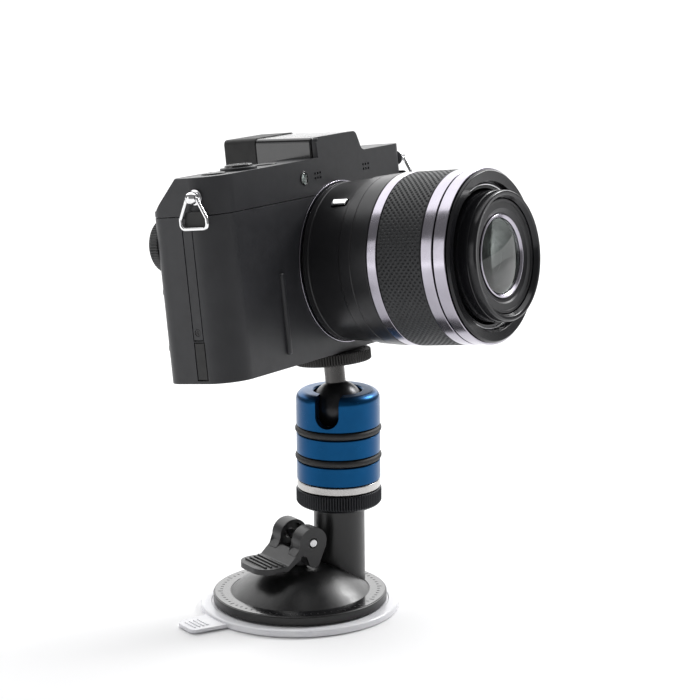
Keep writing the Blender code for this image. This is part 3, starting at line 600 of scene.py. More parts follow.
def build_lever():
    pin = Vector(JOINTS["lever_turn"]["pos_m"]) / MM
    pivot = moved(BASE, *pin)
    half = reach("suction_lever", pivot)[1][1]
    pin_half = reach("lever_pin", pivot)[1][1]
    arm = rounded([
        (CHEEK_R, CHEEK_R, 5.4), (-CHEEK_R, CHEEK_R, 5.4), (-CHEEK_R, -1.6, 0), (-7.6, -3.6, 0),
        (-6.6, -5.3, 0), (-3.2, -3.4, 0.8), (-1.3, NOSE_LOW, 1.5), (2.0, NOSE_LOW, 1.5), (CHEEK_R, -1.8, 0),
    ])
    near = slab("near_arm", arm, -half, -ARM_INNER, "XZ", 0.6, 4)
    far = slab("far_arm", arm, ARM_INNER, half, "XZ", 0.6, 4)
    cut(far, peg("pocket", POCKET_R, ARM_INNER - 1, ARM_INNER + POCKET_DEPTH, axis="Y"))
    corners = [(-5.0, -1.5, 0.6), (-10.5, PAD_TOP, 1.0), (-12.5, PAD_TOP, 0), (-12.5, PAD_LOW, 0),
               (PAD_ROOT, PAD_LOW, 1.0), (-5.0, -5.0, 0)]
    slope = slab("slope", rounded(corners), -half, half, "XZ", 0.4)
    corners = [(PAD_TIP, -half, 6.0), (PAD_ROOT, -half, 0), (PAD_ROOT, half, 0), (PAD_TIP, half, 6.0)]
    pad = slab("pad", rounded(corners), PAD_LOW, PAD_TOP, edge=0.5)
    add(near, far, slope, pad)
    ridges = []
    for i in range(4):
        x = -12.3 - RIDGE_PITCH * i
        width = half - 1.0 - 0.45 * i
        ridges.append(block("ridge", (x - 0.4, -width, -7.0), (x + 0.4, width, -5.95), 0.25))
    add(near, *ridges)
    cut(near, peg("bore", PIN_HOLE_R, -15, 15, axis="Y"))
    show(edged(near, 0.12), "lever_black", "lever", pivot, "suction_lever")
    pin_piece = peg("lever_pin_fine", PIN_R, -pin_half, pin_half, axis="Y", edge=0.35)
    show(pin_piece, "steel", "lever", pivot, "lever_pin")

    low, high = reach("suction_stem", pivot)
    corners = [(-2.8, -6.6, 0), (2.8, -6.6, 0), (BRACKET_R, -3.5, 0.8), (BRACKET_R, BRACKET_R, 2.4),
               (-BRACKET_R, BRACKET_R, 2.4), (-BRACKET_R, -3.5, 0.8)]
    bracket = slab("suction_stem_fine", rounded(corners), low[1], high[1], "XZ", 0.5)
    add(bracket, peg("rod", ROD_R, low[2], -5.6))
    cut(bracket, peg("bore", PIN_HOLE_R, -15, 15, axis="Y"))
    show(edged(bracket, 0.12), "lever_black", "stem", pivot, "suction_stem")


# ---- ball head


def fluted(count, depth, outer):
    """Ribs round an edge: only the points at the outer radius move."""

    def ripple(angle, radius, height):
        if radius < outer - 0.05:
            return radius
        wave = 0.5 + 0.5 * math.cos(angle * count)
        return radius - depth * (1 - wave**0.7)

    return ripple


KNURLS = 96
KNURL_DEPTH = 0.55
RIB_STEPS = 8
COLLAR_TOP = 44.4
COLLAR_CORE_R = 11
COLLAR_BORE_TOP = 49.3
GROOVES = (61.6, 51.6)
GROOVE_R = 13.3
GROOVE_WIDTH = 3.0
SLEEVE_BORE_R = 11.3
SLOT_HALF = 4.3
SLOT_Z = 70.3
SLOT_TURN = math.radians(220.4)
SLOT_STEPS = 24


def slot_tool(top):
    """The cutter of the sleeve's drop slot: a round bottom, open at the top."""
    arch = [(SLOT_HALF, top)]
    for i in range(SLOT_STEPS + 1):
        angle = -math.pi * i / SLOT_STEPS
        arch.append((SLOT_HALF * math.cos(angle), SLOT_Z + SLOT_HALF * math.sin(angle)))
    arch.append((-SLOT_HALF, top))
    slot = slab("slot", arch, 4, 22, "YZ")
    slot.data.transform(Matrix.Rotation(SLOT_TURN, 4, "Z"))
    return slot


def build_head():
    outer, z0, z1 = round_size("lock_ring", HEAD)
    outline = [(SCREW_HOLE_R, z0), (outer - 2.0, z0), (outer - 0.8, z0 + 0.6), (outer - 0.35, z0 + 1.1),
               (outer, z0 + 1.6), (outer, z1 - 0.5), (outer - 0.35, z1 - 0.15), (outer - 0.6, z1),
               (SCREW_HOLE_R, z1)]
    ring = lathe("lock_ring_knurled", outline, KNURLS * RIB_STEPS, fluted(KNURLS, KNURL_DEPTH, outer))
    show(ring, "ring_black", "lock_ring", HEAD, "lock_ring")

    r, z0, z1 = round_size("head_collar", HEAD)
    corners = [(SCREW_HOLE_R, z0, 0), (r, z0, 0.35), (r, COLLAR_TOP, 0.35), (COLLAR_CORE_R, COLLAR_TOP, 0),
               (COLLAR_CORE_R, z1, 0), (0, z1, 0), (0, COLLAR_BORE_TOP, 0),
               (SCREW_HOLE_R, COLLAR_BORE_TOP, 0)]
    collar = lathe("head_collar_fine", rounded(corners, 4))
    show(collar, "head_silver", "head_base", HEAD, "head_collar")

    r, z0, z1 = round_size("head_housing", HEAD)
    corners = [(8.6, z1 - 0.5, 0), (9.0, z1, 0.15), (r, z1, 3.0)]
    for groove in GROOVES:
        top = groove + GROOVE_WIDTH
        corners += [(r, top, 0.3), (GROOVE_R, top, 0), (GROOVE_R, groove, 0), (r, groove, 0.3)]
    corners += [(r, z0, 0.4), (SLEEVE_BORE_R, z0, 0), (SLEEVE_BORE_R, 69.2, 0), (9.9, 70.8, 0),
                (9.7, 72.7, 0), (9.2, 74.4, 0)]
    housing = lathe("head_housing_fine", rounded(corners, 8), SMOOTH)
    cut(housing, slot_tool(z1 + 4))
    show(edged(housing, 0.28, 3, 50), "blue_anodised", "housing", HEAD, "head_housing", crease=50)

    for name in ("oring_1", "oring_2"):
        outer, z0, z1 = round_size(name, HEAD)
        middle = (z0 + z1) / 2
        tube = (z1 - z0) / 2
        angles = np.linspace(0, 2 * math.pi, 20, endpoint=False)
        outline = [(outer - tube + tube * math.cos(a), middle + tube * math.sin(a)) for a in angles]
        show(lathe(name + "_round", outline), "rubber_black", "housing", HEAD, name, crease=60)


def sphere(radius, steps=48):
    """A half circle's outline, from pole to pole."""
    angles = np.linspace(-math.pi / 2, math.pi / 2, steps + 1)[1:-1]
    return [(0, -radius)] + [(radius * math.cos(a), radius * math.sin(a)) for a in angles] + [(0, radius)]


PLATFORM_RIBS = 85
PLATFORM_RIB_DEPTH = 0.42
PLATFORM_RECESS = 1.3


def build_platform():
    radius = reach("ball", AIM)[1][0]
    show(lathe("ball_fine", sphere(radius), 96), "ball_dark", "ball", AIM, "ball", crease=60)
    low, high = reach("ball_neck", AIM)
    neck_r, neck_top = high[0], high[2]
    foot = [(0, radius + 0.02, 0), (2.4, radius - 0.28, 0), (neck_r, radius - 0.7, 0)]
    neck = lathe("ball_neck_fine", rounded(foot + [(neck_r, neck_top, 0.2), (0, neck_top, 0)], 4), 64)
    show(neck, "head_dark", "platform", AIM, "ball_neck")
    outer, z0, z1 = round_size("platform_disc", AIM)
    recess = z1 - PLATFORM_RECESS
    outline = [(SCREW_HOLE_R, z0), (outer - 0.8, z0), (outer - 0.35, z0 + 0.2), (outer, z0 + 0.6),
               (outer, z1 - 0.6), (outer - 0.35, z1 - 0.2), (outer - 0.8, z1), (outer - 2.0, z1),
               (outer - 2.0, recess), (SCREW_HOLE_R, recess)]
    ripple = fluted(PLATFORM_RIBS, PLATFORM_RIB_DEPTH, outer)
    disc = lathe("platform_disc_fine", outline, PLATFORM_RIBS * RIB_STEPS, ripple)
    show(disc, "disc_dark", "platform", AIM, "platform_disc")
    low, high = reach("platform_pad", AIM)
    corners = [(SCREW_HOLE_R, low[2], 0), (high[0], low[2], 0.2), (high[0], high[2], 0.2),
               (SCREW_HOLE_R, high[2], 0)]
    pad = lathe("platform_pad_fine", rounded(corners, 3))
    show(pad, "rubber_black", "platform", AIM, "platform_pad")


# ---- camera body


def body_outline():
    corners = [(GRIP_X, FRONT_Y, 11.0), (FAR_X, FRONT_Y, 3.5), (FAR_X, BACK_Y, 6.0), (GRIP_X, BACK_Y, 6.0)]
    return rounded(corners, 14)


THROAT_R = 22
SOCKET_R = 5.3
SOCKET_DEPTH = 6.6
BATTERY_BAY = ((-60.5, -4.5, -2), (-39.5, 14.5, 43))
DOOR_RECESS = ((-62.5, -6.5, -1), (-37.5, 16.5, 1.5))
RIDGE_X = (-40.4, -38.2)
RIDGE_Z = (4.4, 32.4)
RIDGE_OUT = 1.2


def build_lower_body():
    body = slab("camera_body_fine", body_outline(), 0, SEAM_LOW, edge=2.4, segments=6, only="low")
    ridge_low = (RIDGE_X[0], FRONT_Y - RIDGE_OUT, RIDGE_Z[0])
    ridge_high = (RIDGE_X[1], FRONT_Y + RIDGE_OUT, RIDGE_Z[1])
    add(body, block("grip_ridge", ridge_low, ridge_high, 0.85, 4))
    low, high = reach("screen", CAMERA)
    screen_low = (low[0] - 0.5, BACK_Y - 1.5, low[2] - 0.5)
    screen_high = (high[0] + 0.5, BACK_Y + 2, high[2] + 0.5)
    tools = [
        peg("throat", THROAT_R, -4, 20, (0, LENS_Z), "Y", steps=96),
        block("battery_bay", *BATTERY_BAY),
        block("door_recess", *DOOR_RECESS),
        peg("socket", SOCKET_R, -2, SOCKET_DEPTH, steps=64),
        block("screen_recess", screen_low, screen_high),
        block("strip_groove", (GRIP_X - 2, 1.7, 14.4), (GRIP_X + 1.2, 6.0, 60)),
        block("flap_recess", (GRIP_X - 2, 1.5, 1.0), (GRIP_X + 1.6, 6.0, 14.1)),
    ]
    tools[0].data.transform(Matrix.Translation((0, FRONT_Y * MM, 0)))
    wells = [("mode_dial", 0.5, BACK_Y - 1.6), ("selector_ring", 0.5, BACK_Y - 3.0)]
    wells += [(name, 0.3, BACK_Y - 3.0) for name in REAR_BUTTONS]
    for node, gap, floor in wells:
        low, high = reach(node, CAMERA)
        radius = (high[0] - low[0]) / 2 + gap
        tools.append(peg("well", radius, floor, BACK_Y + 3, centre_of(node, CAMERA), "Y", steps=64))
    cut(body, *tools)
    show(edged(body, 0.32, 2, 40), "camera_paint", "camera", CAMERA, "camera_body")


REAR_BUTTONS = {"button_play": "play_key", "button_menu": "menu_key", "button_delete": "delete_key",
                "button_display": "display_key"}
TOP_BUTTONS = {"shutter_button": "shutter", "movie_button": "movie", "power_button": "power"}
FRAME_BACK = FRONT_Y + 1.9
HUMP_FRONT_TOP = 75.8
HUMP_RISE = 0.03


def hump_outline(inset, drop):
    """The viewfinder hump seen from the front: a square left side and a leaning right side."""
    left = HUMP_LEFT + inset
    top = HUMP_FRONT_TOP - drop
    return rounded([
        (left, SEAM_TOP + 1.0, 0), (22.5, SEAM_TOP + 1.0, 0), (22.5, DECK_Z - 0.02, 0),
        (17.8, DECK_Z - 0.02, 2.6), (14.6, top, 2.6), (left, top, 1.8),
    ], 8)


COVER_COLLAR_R = 6.3
MIC_X = (-13.0, 17.6)
MIC_Z = 61.9
MIC_PITCH = 1.6
MIC_R = 0.5
LAMP_WELL_R = 2.2


def cover_tools(lamp):
    """The cutters of the cover's button wells, lamp well and two microphone grids."""
    tools = []
    for node in TOP_BUTTONS:
        low, high = reach(node, CAMERA)
        radius = (high[0] - low[0]) / 2 + 0.3
        spot = centre_of(node, CAMERA, "XY")
        tools.append(peg("well", radius, DECK_Z - 2.5, DECK_Z + 6, spot, steps=64))
    tools.append(peg("lamp_well", LAMP_WELL_R, FRONT_Y - 2, FRONT_Y + 1.2, lamp, "Y", steps=64))
    for grid_x in MIC_X:
        for column in range(3):
            for row in range(2):
                spot = (grid_x + MIC_PITCH * column, MIC_Z + MIC_PITCH * row)
                tools.append(peg("mic", MIC_R, FRONT_Y - 2, FRONT_Y + 1.0, spot, "Y", steps=16))
    return tools


def build_top_cover():
    cover = slab("top_cover_fine", body_outline(), SEAM_TOP, DECK_Z, edge=1.5, segments=2, only="high")
    slope = [(BACK_Y + 3, SLOPE_FOOT[1] - 1.0), SLOPE_FOOT, (DECK_BACK_Y, DECK_Z + 0.4),
             (DECK_BACK_Y, DECK_Z + 5), (BACK_Y + 3, DECK_Z + 5)]
    cut(cover, slab("rear_slope", slope, GRIP_X - 5, FAR_X + 5, "YZ"))
    plate = slab("hump_plate", hump_outline(0.0, 0.0), FRONT_Y, FRAME_BACK, "XZ", 0.9, 3, "low")
    add(cover, plate)
    block_end = reach("eyepiece", CAMERA)[0][1] + 0.4
    roof = slab("hump_block", hump_outline(0.15, 0.15), FRAME_BACK + 0.6, block_end, "XZ")
    for vertex in roof.data.vertices:
        if vertex.co.z > (DECK_Z + 2) * MM:
            vertex.co.z += HUMP_RISE * (vertex.co.y - FRONT_Y * MM)
    show(edged(roof, 0.8, 4, 50), "gloss_black", "camera", CAMERA)
    groove = slab("hump_groove", hump_outline(1.3, 1.0), FRAME_BACK - 0.4, FRAME_BACK + 1.0, "XZ")
    show(groove, "rubber_black", "camera", CAMERA)
    centre = centre_of("shutter_button", CAMERA, "XY")
    add(cover, peg("collar", COVER_COLLAR_R, DECK_Z - 2, DECK_Z + 1.0, centre, edge=0.3, steps=96))
    lamp = centre_of("af_lamp", CAMERA)
    cut(cover, *cover_tools(lamp))
    show(edged(cover, 0.18, 2, 40), "camera_paint", "camera", CAMERA, "top_cover")
    glass = peg("af_lamp_fine", 1.9, FRONT_Y - 0.1, FRONT_Y + 0.8, lamp, "Y", 0.3, 48)
    show(glass, "lens_glass", "camera", CAMERA, "af_lamp")
    cup = peg("af_lamp_cup", 2.1, FRONT_Y + 0.85, FRONT_Y + 1.15, lamp, "Y", 0.05, 48)
    show(cup, "steel", "camera", CAMERA)
    corners = [(1.95, -0.2, 0), (2.4, -0.2, 0), (2.4, 0.25, 0.15), (1.95, 0.25, 0.1)]
    rim = lathe("af_lamp_rim", rounded(corners, 3), 64)
    place = moved(CAMERA, lamp[0], FRONT_Y, lamp[1]) @ Matrix.Rotation(math.pi / 2, 4, "X")
    show(rim, "gloss_black", "camera", place)


DIALS = (("mode_dial", "dial", 0, 60), ("selector_ring", "selector", 4.6, 48))


def build_buttons():
    for node, body in TOP_BUTTONS.items():
        low, high = reach(node, CAMERA)
        radius = (high[0] - low[0]) / 2
        spot = centre_of(node, CAMERA, "XY")
        button = peg(node + "_fine", radius, low[2], high[2], spot, edge=0.35, dish=0.25, steps=72)
        look = "gloss_black" if node == "shutter_button" else "button_black"
        show(button, look, body, CAMERA, node, crease=30)
    for node, body in (REAR_BUTTONS | {"selector_button": "select_key"}).items():
        low, high = reach(node, CAMERA)
        radius = (high[0] - low[0]) / 2
        button = peg(node + "_fine", radius, low[1], high[1], centre_of(node, CAMERA), "Y", 0.35, 48)
        show(button, "button_black", body, CAMERA, node)
    for node, body, inner, ribs in DIALS:
        low, high = reach(node, CAMERA)
        x, z = centre_of(node, CAMERA)
        place = moved(CAMERA, x, 0, z) @ Matrix.Rotation(-math.pi / 2, 4, "X")
        outer, y0, y1 = (high[0] - low[0]) / 2, low[1], high[1]
        outline = [(inner, y0), (outer - 0.3, y0), (outer, y0 + 0.3), (outer, y1 - 0.35), (outer - 0.4, y1),
                   (outer - 1.5, y1), (outer - 1.8, y1 - 0.15), (inner, y1 - 0.15)]
        dial = lathe(node + "_fine", outline, ribs * RIB_STEPS, fluted(ribs, 0.3, outer))
        show(dial, "button_black", body, place, node)


def on_slope(along, height):
    """A point on the sloping upper back, a share of the way up it and a height off it."""
    run, rise = DECK_BACK_Y - SLOPE_FOOT[0], DECK_Z + 0.4 - SLOPE_FOOT[1]
    length = math.hypot(run, rise)
    y = SLOPE_FOOT[0] + run * along + rise / length * height
    return y, SLOPE_FOOT[1] + rise * along - run / length * height


WINDOW_GAP = 0.3


def frame_corners(low, high, gap, radius, top_radius=None):
    """The corners of a node's face seen from the back, let out by a gap and rounded."""
    top = radius if top_radius is None else top_radius
    return [(low[0] - gap, low[2] - gap, radius), (high[0] + gap, low[2] - gap, radius),
            (high[0] + gap, high[2] + gap, radius), (low[0] - gap, high[2] + gap, top)]


def build_back():
    low, high = reach("screen", CAMERA)
    screen = slab("screen_fine", rounded(frame_corners(low, high, 0, 1.2), 6), low[1], high[1], "XZ", 0.2)
    show(screen, "screen_glass", "camera", CAMERA, "screen")
    low, high = reach("eyepiece", CAMERA)
    corners = frame_corners(low, high, 0, 2.5, 1.8)
    cup = slab("eyepiece_fine", rounded(corners), low[1], high[1], "XZ", 2.2, 6, "high")
    low, high = reach("finder_window", CAMERA)
    hole = frame_corners(low, high, WINDOW_GAP, 2)
    cut(cup, slab("eye_hole", rounded(hole), low[1] - WINDOW_GAP, 40, "XZ"))
    show(edged(cup, 0.3), "rubber_black", "camera", CAMERA, "eyepiece")
    pane = rounded(frame_corners(low, high, 0, 1.8))
    window = slab("finder_window_fine", pane, low[1], high[1], "XZ", 0.15)
    show(window, "screen_glass", "camera", CAMERA, "finder_window")
    low, high = reach("thumb_rest", CAMERA)
    rest = [on_slope(0.1, 0.3), on_slope(0.1, 2.6), on_slope(0.8, 2.6), on_slope(0.8, 0.3)]
    pad = slab("thumb_rest_fine", rest, low[0], high[0], "YZ")
    show(edged(pad, 0.5, 4), "rubber_black", "camera", CAMERA, "thumb_rest")
    low, high = reach("battery_door", CAMERA)
    door = block("battery_door_fine", low, high, 0.25, 3)
    show(door, "camera_paint", "battery_door", CAMERA, "battery_door")


STRIP_SCREWS_Z = (17.3, 52.7)
CROSS_LONG = 0.75
CROSS_THIN = 0.17


def build_grip_end():
    low, high = reach("side_strip", CAMERA)
    strip = block("side_strip_fine", low, high, 0.15)
    face, middle = low[0], (low[1] + high[1]) / 2
    screws = []
    for z in STRIP_SCREWS_Z:
        cut(strip, peg("screw_hole", 1.25, face - 1, face + 0.5, (middle, z), "X", steps=32))
        screw = peg("screw", 1.15, face + 0.12, face + 0.45, (middle, z), "X", 0.1, 32)
        for wide, tall in ((CROSS_LONG, CROSS_THIN), (CROSS_THIN, CROSS_LONG)):
            slit_low = (face - 1, middle - wide, z - tall)
            slit_high = (face + 0.32, middle + wide, z + tall)
            cut(screw, block("cross", slit_low, slit_high))
        screws.append(screw)
    show(strip, "camera_paint", "camera", CAMERA, "side_strip")
    show(joined("strip_screws", screws), "button_black", "camera", CAMERA)
    low, high = reach("side_flap", CAMERA)
    show(block("side_flap_fine", low, high, 0.2), "guard_black", "flap", CAMERA, "side_flap")


STALK_R = 1.5
WASHER_R = 2.6
EYE_R = 1.1
STRAP_WIRE_R = 0.65
STRAP_LOOP = [(-1.9, 0, 0.9), (1.9, 0, 0.9), (5.3, -6.9, 0.8), (5.3, -10.2, 1.6), (-5.3, -10.2, 1.6),
              (-5.3, -6.9, 0.8)]


def build_strap(side, outward):
    low, high = reach("strap_lug_" + side, CAMERA)
    face, tip = (low[0], high[0]) if outward > 0 else (high[0], low[0])
    hole_x = tip - outward * 2.3
    lug_y, lug_z = spot = centre_of("strap_lug_" + side, CAMERA, "YZ")
    lug = lathe("strap_lug_fine_" + side, sphere((high[2] - low[2]) / 2), 64)
    lug.data.transform(Matrix.Translation((hole_x * MM, lug_y * MM, lug_z * MM)))
    add(lug, peg("stalk", STALK_R, min(face, hole_x), max(face, hole_x), spot, "X", 0.2, 40))
    add(lug, peg("washer", WASHER_R, *sorted((face, face - outward * 0.3)), spot, "X", 0.1, 48))
    cut(lug, peg("eye", EYE_R, low[1] - 3, high[1] + 3, (hole_x, lug_z), "Y", steps=32))
    show(edged(lug, 0.12), "chrome", "camera", CAMERA, "strap_lug_" + side)
    path = [(hole_x, lug_y + y, lug_z + z) for y, z in rounded(STRAP_LOOP, 8)]
    ring = wire("strap_ring_fine_" + side, path, STRAP_WIRE_R)
    show(ring, "chrome", "strap_ring_" + side, CAMERA, "strap_ring_" + side, crease=60)
    low, high = reach("strap_guard_" + side, CAMERA)
    middle = lug_y + 0.3
    corners = [(middle - 3.9, high[2], 1), (low[1], low[2], 2), (high[1], low[2], 2),
               (middle + 3.9, high[2], 1)]
    guard = slab("strap_guard_fine_" + side, rounded(corners), low[0], high[0], "YZ", 0.25)
    show(guard, "guard_black", "camera", CAMERA, "strap_guard_" + side)


# ---- lens


MOUNT_R = 27.9
FLARE = 2.1 / 28.8
BAND_AT = 16.8
LINE_AT = 21.3
BARREL_BORE_R = 24


def flare(distance):
    """The rear barrel's radius at a distance from the mount."""
    return MOUNT_R + FLARE * distance


def build_rear_barrel():
    end = reach("lens_rear_barrel", LENS)[1][2]
    groove_r = flare(4) - 0.5
    corners = [
        (11, 0.3, 0), (MOUNT_R - 1.0, 0.3, 0), (MOUNT_R, 1.3, 0.4), (MOUNT_R, 3.3, 0.2), (groove_r, 3.5, 0),
        (groove_r, 4.0, 0.1), (flare(BAND_AT) - 0.35, BAND_AT - 0.2, 0.2),
        (flare(BAND_AT), BAND_AT + 0.2, 0.2), (flare(LINE_AT), LINE_AT, 0.15),
        (flare(LINE_AT) - 0.15, LINE_AT + 0.3, 0),
        (flare(LINE_AT) + 0.1, LINE_AT + 0.6, 0.1), (flare(end), end, 0.3), (BARREL_BORE_R, end, 0),
        (BARREL_BORE_R, 3.4, 0), (11, 3.4, 0),
    ]
    barrel = lathe("lens_rear_barrel_fine", rounded(corners, 4), SMOOTH)
    press = Vector(JOINTS["lens_button_press"]["axis"])
    inward = LENS.to_3x3().inverted() @ press
    turn = math.atan2(-inward.y, -inward.x) - math.pi / 2
    button_frame = LENS @ Matrix.Rotation(turn, 4, "Z")
    low, high = reach("lens_button", button_frame)
    gap = 0.4
    pocket_low = (low[0] - gap, low[1] - 1, low[2] - gap)
    pocket_high = (high[0] + gap, high[1] + 3, high[2] + gap)
    pocket = block("pocket", pocket_low, pocket_high, 0.4)
    pocket.data.transform(Matrix.Rotation(turn, 4, "Z"))
    cut(barrel, pocket)
    show(edged(barrel, 0.15, 2, 30), "lens_black", "camera", LENS, "lens_rear_barrel", crease=24)
    button = block("lens_button_fine", low, high, 0.45, 4)
    show(button, "chrome", "lens_button", button_frame, "lens_button")
    corners = [(MOUNT_R + 0.25, 0.12, 0), (MOUNT_R + 0.55, 0.12, 0.05), (MOUNT_R + 0.55, 0.5, 0.1),
               (MOUNT_R + 0.05, 0.5, 0.1)]
    show(lathe("mount_trim", rounded(corners, 3), SMOOTH), "lens_silver", "camera", LENS)


RING_BORES = {"lens_ring_rear": 24.0, "lens_ring_middle": 28.6, "lens_ring_front": 28.6}
ZOOM_BORE_R = 24.3
DIMPLES = 86
DIMPLE_PITCH = 0.965
DIMPLE_R = 0.47
DIMPLE_DEPTH = 0.42
ZOOM_ROWS = 118


def dimpled(r, z0, z1):
    """Rows of dimples round the zoom ring, each row shifted by half a dimple."""
    pitch = 2 * math.pi * r / DIMPLES
    rows = int((z1 - z0 - 1.3) / DIMPLE_PITCH)
    pattern_low = (z0 + z1) / 2 - rows * DIMPLE_PITCH / 2

    def dimple(angle, radius, height):
        if radius < r - 0.05:
            return radius
        row = round((height - pattern_low) / DIMPLE_PITCH)
        if not 0 <= row <= rows:
            return radius
        column = angle * DIMPLES / (2 * math.pi) + 0.5 * (row % 2)
        across = (column - round(column)) * pitch
        along = height - pattern_low - row * DIMPLE_PITCH
        share = math.hypot(across, along) / DIMPLE_R
        return radius - DIMPLE_DEPTH * max(0.0, 1 - share**2) ** 0.6

    return dimple


def build_rings():
    for node, inner in RING_BORES.items():
        r, z0, z1 = round_size(node, LENS)
        corners = [(inner, z0, 0), (r, z0, 0.2), (r, z1, 0.2), (inner, z1, 0)]
        ring = lathe(node + "_fine", rounded(corners, 4), SMOOTH)
        show(ring, "lens_silver", "camera", LENS, node)
    r, z0, z1 = round_size("zoom_ring", LENS)
    outline = [(ZOOM_BORE_R, z0), (r - 0.35, z0), (r - 0.1, z0 + 0.1)]
    outline += [(r, z0 + 0.35 + (z1 - z0 - 0.7) * i / ZOOM_ROWS) for i in range(ZOOM_ROWS + 1)]
    outline += [(r - 0.1, z1 - 0.1), (r - 0.35, z1), (ZOOM_BORE_R, z1)]
    zoom = lathe("zoom_ring_dimpled", outline, DIMPLES * 12, dimpled(r, z0, z1))
    show(zoom, "zoom_rubber", "zoom", LENS, "zoom_ring", crease=50)


FRONT_BACK_R = 28.3
FRONT_STEP = 59.7
FRONT_BORE_R = 23.2
INNER_BORE_R = 19.7
RING_BORE_R = 14.5
WELL_R = 12.6
SECOND_GLASS_R = 10.0
SECOND_GLASS_STEPS = 12
GLASS_BULGE = 1.3
GLASS_STEPS = 16


def build_front_barrel():
    z0, z1 = round_size("lens_front_barrel", LENS)[1:]
    corners = [
        (FRONT_BACK_R, z0, 0), (FRONT_BACK_R, FRONT_STEP, 0), (29.6, FRONT_STEP, 0.2), (28.85, z1, 0.3),
        (25.6, z1 - 0.35, 0.3), (24.8, z1 - 2.3, 0.3), (24.35, z1 - 2.3, 0.1), (24.2, z1 - 2.6, 0),
        (FRONT_BORE_R, z1 - 2.6, 0), (FRONT_BORE_R, z0, 0),
    ]
    barrel = lathe("lens_front_barrel_fine", rounded(corners, 5), SMOOTH)
    show(barrel, "lens_gloss", "camera", LENS, "lens_front_barrel", crease=30)
    lip = [(24.1, z1 - 2.5, 0), (24.6, z1 - 2.3, 0), (24.6, z1 - 2.0, 0.1), (24.2, z1 - 2.1, 0.1)]
    show(lathe("front_lip", rounded(lip, 3), SMOOTH), "steel", "camera", LENS)


def build_inner_barrel():
    r, z0, z1 = round_size("inner_barrel", LENS)
    corners = [
        (r, z0, 0), (r, z1 - 3.2, 0), (r - 0.2, z1 - 3.0, 0), (r - 0.2, z1, 0.7), (r - 1.9, z1 - 0.25, 0.5),
        (r - 2.7, z1 - 1.6, 0.2), (INNER_BORE_R, z1 - 1.7, 0), (INNER_BORE_R, z0, 0),
    ]
    inner = lathe("inner_barrel_fine", rounded(corners, 5), SMOOTH)
    show(inner, "lens_gloss", "inner", LENS, "inner_barrel", crease=30)
    low, high = reach("front_ring", LENS)
    r, z0 = high[0], low[2]
    corners = [
        (r, z1 - 1.8, 0.2), (r - 0.9, z1 - 1.9, 0), (r - 1.0, z1 - 2.15, 0), (16.2, z1 - 2.2, 0.1),
        (15.6, z1 - 2.6, 0.1), (RING_BORE_R, z1 - 3.0, 0.2), (RING_BORE_R, z0, 0), (r, z0, 0),
    ]
    ring = lathe("front_ring_fine", rounded(corners, 4), SMOOTH)
    show(ring, "lens_black", "inner", LENS, "front_ring", crease=24)


def build_glass():
    r, z0, z1 = round_size("glass_bezel", LENS)
    outer, bore = r + 0.6, r - 0.7
    corners = [(outer, z0, 0), (outer, z1, 0.3), (outer - 0.6, z1, 0.1), (bore, z1 - 0.7, 0), (bore, z0, 0)]
    show(lathe("glass_bezel_fine", rounded(corners, 4)), "lens_silver", "inner", LENS, "glass_bezel")
    r, z0, z1 = round_size("front_glass", LENS)
    shares = [i / GLASS_STEPS for i in range(GLASS_STEPS + 1)]
    curve = [(r * share, z1 - GLASS_BULGE * share**2) for share in shares]
    glass = lathe("front_glass_fine", [(0, z0)] + curve + [(r, z0)])
    show(glass, "lens_glass", "inner", LENS, "front_glass", crease=30)
    well = lathe("lens_well", [(0, z0 - 9.4), (9.0, z0 - 9.4), (12.2, z0 - 0.4), (WELL_R, z0 - 0.4),
                               (WELL_R, z0 - 9.8), (0, z0 - 9.8)])
    show(well, "lens_inside", "inner", LENS)
    r = SECOND_GLASS_R
    shares = [i / SECOND_GLASS_STEPS for i in range(SECOND_GLASS_STEPS + 1)]
    curve = [(r * share, z0 - 3.0 - 1.9 * share**2) for share in shares]
    second = lathe("second_glass", [(0, z0 - 5.4)] + curve + [(r, z0 - 5.4)], 96)
    show(second, "lens_glass", "inner", LENS, crease=30)


# ---- pieces kept from the CAD model

KEPT = {
    "post_stud": "steel", "tripod_screw": "steel", "clamp_spring": "steel", "tripod_bush": "steel",
    "lens_mount_ring": "steel",
    "ball_seat": "inner_grey", "battery": "inner_grey", "image_sensor": "screen_glass",
}


def dress_kept():
    for node, look in KEPT.items():
        obj = frame["nodes"][node]
        for index in range(len(obj.data.materials)):
            obj.data.materials[index] = LOOKS[look]
        if not obj.data.materials:
            obj.data.materials.append(LOOKS[look])


# ---- stage


FLOOR_HALF = 8.0
FLOOR_DROP = 0.0002
FLOOR_COLOUR = (0.93, 0.93, 0.935, 1)
FLOOR_ROUGHNESS = 0.7


def build_stage():
    mesh = bpy.data.meshes.new("floor")
    bm = bmesh.new()
    bmesh.ops.create_grid(bm, x_segments=8, y_segments=8, size=FLOOR_HALF)
    bm.to_mesh(mesh)
    bm.free()
    floor = bpy.data.objects.new("floor", mesh)
    floor.location.z = -FLOOR_DROP
    bpy.context.scene.collection.objects.link(floor)
    material = bpy.data.materials.new("pale_floor")
    material.use_nodes = True
    shader = material.node_tree.nodes["Principled BSDF"]
    shader.inputs["Base Color"].default_value = FLOOR_COLOUR
    shader.inputs["Roughness"].default_value = FLOOR_ROUGHNESS
    mesh.materials.append(material)


WORLD_STRENGTH = 0.22
SKY_POWER = 3.6
SKY_SPREAD = math.radians(100)
SKY_HEIGHT = math.radians(50)
SKY_AWAY = Vector((0.556, 0.831, 0))
LIT_POINT = Vector((0.0, 0.0, 0.1))
# Each softbox: its place, its two sides in metres and its power in watts.
SOFTBOXES = {
    "left": ((-1.1, 0.15, 0.3), (0.5, 0.6), 1.2),
    "right": ((0.88, 0.02, 0.72), (0.28, 0.28), 6),
}


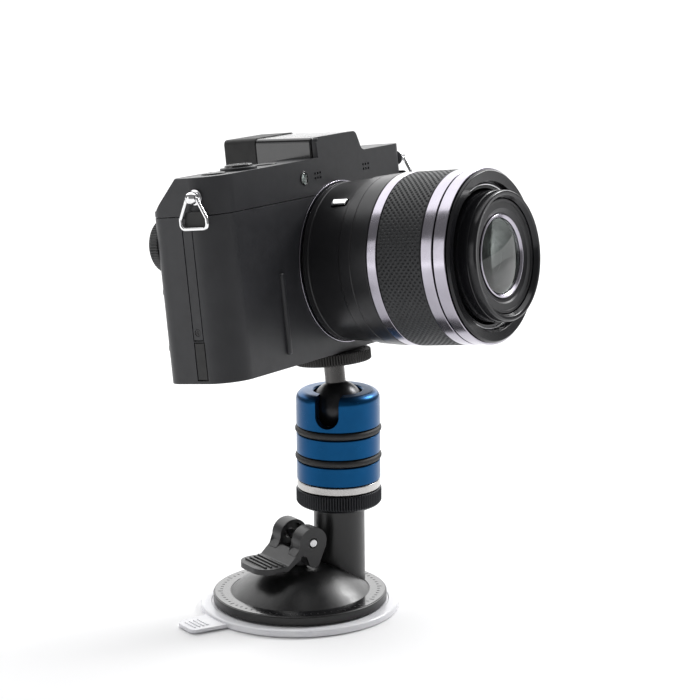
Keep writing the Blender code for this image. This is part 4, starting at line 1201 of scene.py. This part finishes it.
def soft_light(name, place, size, power):
    data = bpy.data.lights.new(name, "AREA")
    data.shape = "RECTANGLE"
    data.size, data.size_y = size
    data.energy = power
    lamp = bpy.data.objects.new(name, data)
    lamp.location = place
    lamp.rotation_euler = (LIT_POINT - Vector(place)).to_track_quat("-Z", "Y").to_euler()
    bpy.context.scene.collection.objects.link(lamp)


def build_lights():
    world = bpy.data.worlds.new("studio")
    world.use_nodes = True
    background = world.node_tree.nodes["Background"]
    background.inputs["Color"].default_value = (1, 1, 1, 1)
    background.inputs["Strength"].default_value = WORLD_STRENGTH
    bpy.context.scene.world = world
    sky = bpy.data.lights.new("sky", "SUN")
    sky.energy = SKY_POWER
    sky.angle = SKY_SPREAD
    lamp = bpy.data.objects.new("sky", sky)
    away = SKY_AWAY * math.cos(SKY_HEIGHT) + Vector((0, 0, math.sin(SKY_HEIGHT)))
    lamp.rotation_euler = away.to_track_quat("Z", "Y").to_euler()
    bpy.context.scene.collection.objects.link(lamp)
    for name, (place, size, power) in SOFTBOXES.items():
        soft_light(name, place, size, power)


VIEW_FROM = (-0.47127, -0.73731, 0.30175)
VIEW_TURNS = ((-33.81, "Z"), (-13.39, "X"), (0.55, "Y"), (90, "X"))
VIEW_LENS = 132.1


def build_camera():
    data = bpy.data.cameras.new("view")
    data.sensor_width = 36.0
    data.lens = VIEW_LENS
    data.clip_start = 0.01
    camera = bpy.data.objects.new("view", data)
    camera.location = VIEW_FROM
    aim = Matrix.Identity(4)
    for degrees, axis in VIEW_TURNS:
        aim = aim @ Matrix.Rotation(math.radians(degrees), 4, axis)
    camera.rotation_euler = aim.to_euler()
    bpy.context.scene.collection.objects.link(camera)
    bpy.context.scene.camera = camera
    bpy.context.scene.view_settings.view_transform = "Standard"


build_camera()
build_stage()
build_lights()
build_base()
build_lever()
build_head()
build_platform()
build_lower_body()
build_top_cover()
build_buttons()
build_back()
build_grip_end()
build_strap("grip", -1)
build_strap("far", 1)
build_rear_barrel()
build_rings()
build_front_barrel()
build_inner_barrel()
build_glass()
dress_kept()
